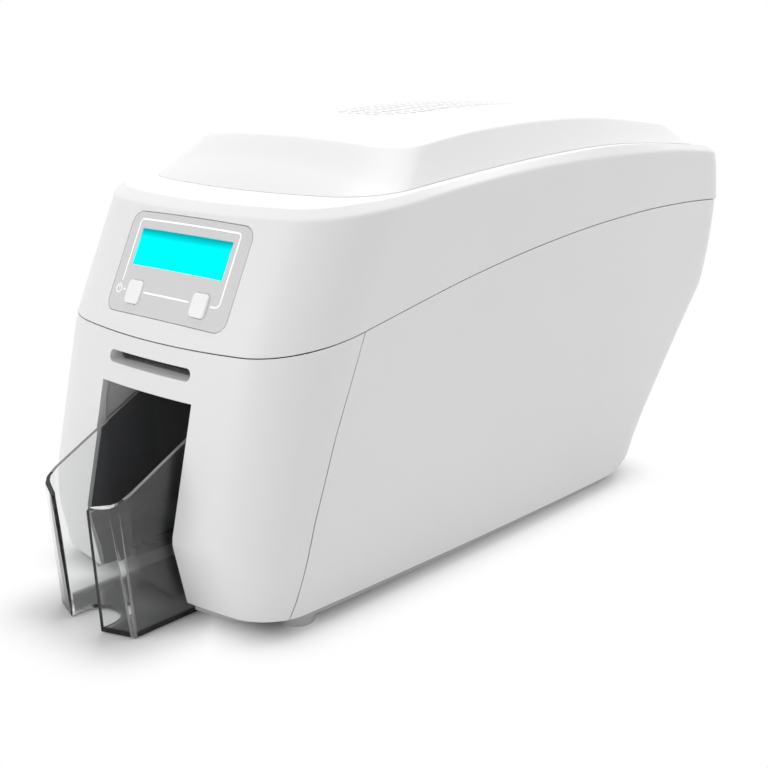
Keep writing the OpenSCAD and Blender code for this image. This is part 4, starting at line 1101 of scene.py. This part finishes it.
# The tint turns darker towards the base.
BASE_DARKER = (0.32, 0.325, 0.33)
smoke, tree, shader = finish("smoked_acrylic", CLEAR, 0.03, Transmission_Weight=1.0, IOR=1.49)
height = level_share(tree, (0, 0, 1), 0, TRAY_BASE * MM)
tree.links.new(ramp(tree, height, BASE_DARKER, CLEAR, 0.6, 1.0), shader.inputs["Base Color"])
scuffs = noise(tree, 60, 6.0, (1, 1, 3))
tree.links.new(ramp(tree, scuffs, (0.02,) * 3, (0.06,) * 3), shader.inputs["Roughness"])
# The narrow faces are painted grey: painted reflection and shade for light bent through the rims.
TRAY_RIM_PAINTED_LIGHT = speckled("tray_rim_painted_light", (0.34, 0.34, 0.34), 0.2, 1500, 0.00002, 0.05,
                    Transmission_Weight=0.4, IOR=1.49)

# %% The tray with its rims
RIM_WIDTH = 2.6
RIM_TILT = 0.3
CREASE_WIDTH = 1.0
tray = refine("card_tray", "tray", smoke, 0.5, 30)
tray.data.materials.append(TRAY_RIM_PAINTED_LIGHT)
for face in tray.data.polygons:
    corners = [tray.data.vertices[k].co for k in face.vertices]
    longest = max((a - b).length for a, b in zip(corners, corners[1:] + corners[:1]))
    width = face.area / longest / MM
    if width < CREASE_WIDTH or (width < RIM_WIDTH and face.normal.z > RIM_TILT):
        face.material_index = 1
print(sum(f.material_index for f in tray.data.polygons), "narrow faces on the tray")

# %% [markdown]
# ## The floor
# The printer stands on a plain white sheet. Close to it the sheet is matt paper
# that takes the shadow; away from it a slow fade turns the paper into plain
# white, which is also what the sky shows to the camera. A larger lit sheet
# would do the same in a studio, but its far end always turns grey. The fade is
# measured from two rectangles, one under the housing and one under the tray.

# %% What the camera sees
def seen_rays(tree):
    """1 where the camera sees a thing itself, in a reflection or through glass."""
    path = add(tree, "ShaderNodeLightPath")
    mirror = add(tree, "ShaderNodeMath", operation="MAXIMUM")
    either = add(tree, "ShaderNodeMath", operation="MAXIMUM")
    tree.links.new(path.outputs["Is Glossy Ray"], mirror.inputs[0])
    tree.links.new(path.outputs["Is Transmission Ray"], mirror.inputs[1])
    tree.links.new(path.outputs["Is Camera Ray"], either.inputs[0])
    tree.links.new(mirror.outputs[0], either.inputs[1])
    return either.outputs[0]


def beyond(tree, low, high):
    """How far a place on the floor lies outside a rectangle."""
    middle = [(a + b) / 2 for a, b in zip(low, high)]
    half = [(b - a) / 2 for a, b in zip(low, high)]
    where = add(tree, "ShaderNodeTexCoord")
    steps = [add(tree, "ShaderNodeVectorMath", operation=kind)
             for kind in ("SUBTRACT", "ABSOLUTE", "SUBTRACT", "MAXIMUM", "LENGTH")]
    steps[0].inputs[1].default_value = (*middle, 0)
    steps[2].inputs[1].default_value = (*half, 0)
    tree.links.new(where.outputs["Object"], steps[0].inputs[0])
    for a, b in zip(steps, steps[1:]):
        tree.links.new(a.outputs["Vector"], b.inputs[0])
    return steps[-1].outputs["Value"]


# %% The sheet of paper
FLOOR_HALF = 6.0
SHADOW_REACH = 0.045
PAPER_WHITE = 0.89
HOUSING_PLOT = ((-0.07, -0.173), (0.07, 0.13))
TRAY_PLOT = ((-0.026, -0.236), (0.026, -0.1))
floor_bm = bmesh.new()
bmesh.ops.create_grid(floor_bm, x_segments=1, y_segments=1, size=FLOOR_HALF)
floor = mesh_object(floor_bm, "floor")
paper = bpy.data.materials.new("paper")
paper.use_nodes = True
tree = paper.node_tree
tree.nodes.clear()
out = add(tree, "ShaderNodeOutputMaterial")
matt = add(tree, "ShaderNodeBsdfDiffuse", Color=(PAPER_WHITE, PAPER_WHITE, PAPER_WHITE, 1))
white = add(tree, "ShaderNodeEmission", Color=(1, 1, 1, 1), Strength=1.0)
far = add(tree, "ShaderNodeMath", operation="MINIMUM")
tree.links.new(beyond(tree, *HOUSING_PLOT), far.inputs[0])
tree.links.new(beyond(tree, *TRAY_PLOT), far.inputs[1])
fade = add(tree, "ShaderNodeMapRange", interpolation_type="SMOOTHSTEP")
fade.inputs["From Max"].default_value = SHADOW_REACH
share = add(tree, "ShaderNodeMath", operation="MULTIPLY")
mix = add(tree, "ShaderNodeMixShader")
tree.links.new(far.outputs[0], fade.inputs["Value"])
tree.links.new(fade.outputs["Result"], share.inputs[0])
tree.links.new(seen_rays(tree), share.inputs[1])
tree.links.new(share.outputs[0], mix.inputs[0])
tree.links.new(matt.outputs[0], mix.inputs[1])
tree.links.new(white.outputs[0], mix.inputs[2])
tree.links.new(mix.outputs[0], out.inputs["Surface"])
floor.data.materials.append(paper)
print("paper", 2 * FLOOR_HALF, "m wide, shadow within", SHADOW_REACH, "m of the printer")

# %% [markdown]
# ## The light
# A white sky gives most of the light, so the shadows stay soft and pale. It is
# dimmer as a light than as a backdrop, which a switch on the kind of ray
# allows. A wide lamp above and behind makes the top the brightest side, and a
# weaker one from the front left keeps the front lighter than the right side.

# %% Sky
SKY = 0.55
world = bpy.data.worlds.new("studio")
bpy.context.scene.world = world
world.use_nodes = True
tree = world.node_tree
sky = tree.nodes["Background"]
sky.inputs["Color"].default_value = (1, 1, 1, 1)
level = add(tree, "ShaderNodeMapRange")
level.inputs["To Min"].default_value = SKY
level.inputs["To Max"].default_value = 1.0
tree.links.new(seen_rays(tree), level.inputs["Value"])
tree.links.new(level.outputs["Result"], sky.inputs["Strength"])
print("sky as a light:", SKY)


# %% Lamps
def lamp(name, place, target, size, power):
    """A round soft lamp that looks at its target."""
    data = bpy.data.lights.new(name, "AREA")
    data.shape = "DISK"
    data.size = size
    data.energy = power
    obj = scene_object(name, data)
    obj.location = place
    obj.rotation_euler = (Vector(target) - Vector(place)).to_track_quat("-Z", "Y").to_euler()
    print(name, size, "m wide,", power, "W")


lamp("top_lamp", (-0.1, 0.85, 2.15), (0, 0, 0.1), 2.0, 37)
lamp("front_lamp", (-0.9, -1.9, 0.8), (0, 0, 0.12), 1.4, 11.5)

# %% [markdown]
# ## The camera
# The camera looks down on the front right corner. Its place, its turn and its
# focal length were fitted together from points of the photograph, since a
# longer lens from further away would flatten the front.

# %% Camera
LENS = 57.58
CAMERA_PLACE = (0.48063, -0.55636, 0.28536)
CAMERA_DOWN = 15.965
CAMERA_TURN = 41.363
camera = bpy.data.cameras.new("camera")
camera.sensor_width = 36
camera.lens = LENS
camera.clip_start = 0.01
camera_obj = scene_object("camera", camera)
camera_obj.location = CAMERA_PLACE
camera_obj.rotation_euler = (math.radians(90 - CAMERA_DOWN), 0, math.radians(CAMERA_TURN))
bpy.context.scene.camera = camera_obj
bpy.context.scene.view_settings.view_transform = "Standard"
print("lens", LENS, "mm, camera", round(Vector(CAMERA_PLACE).length, 3), "m from the middle")
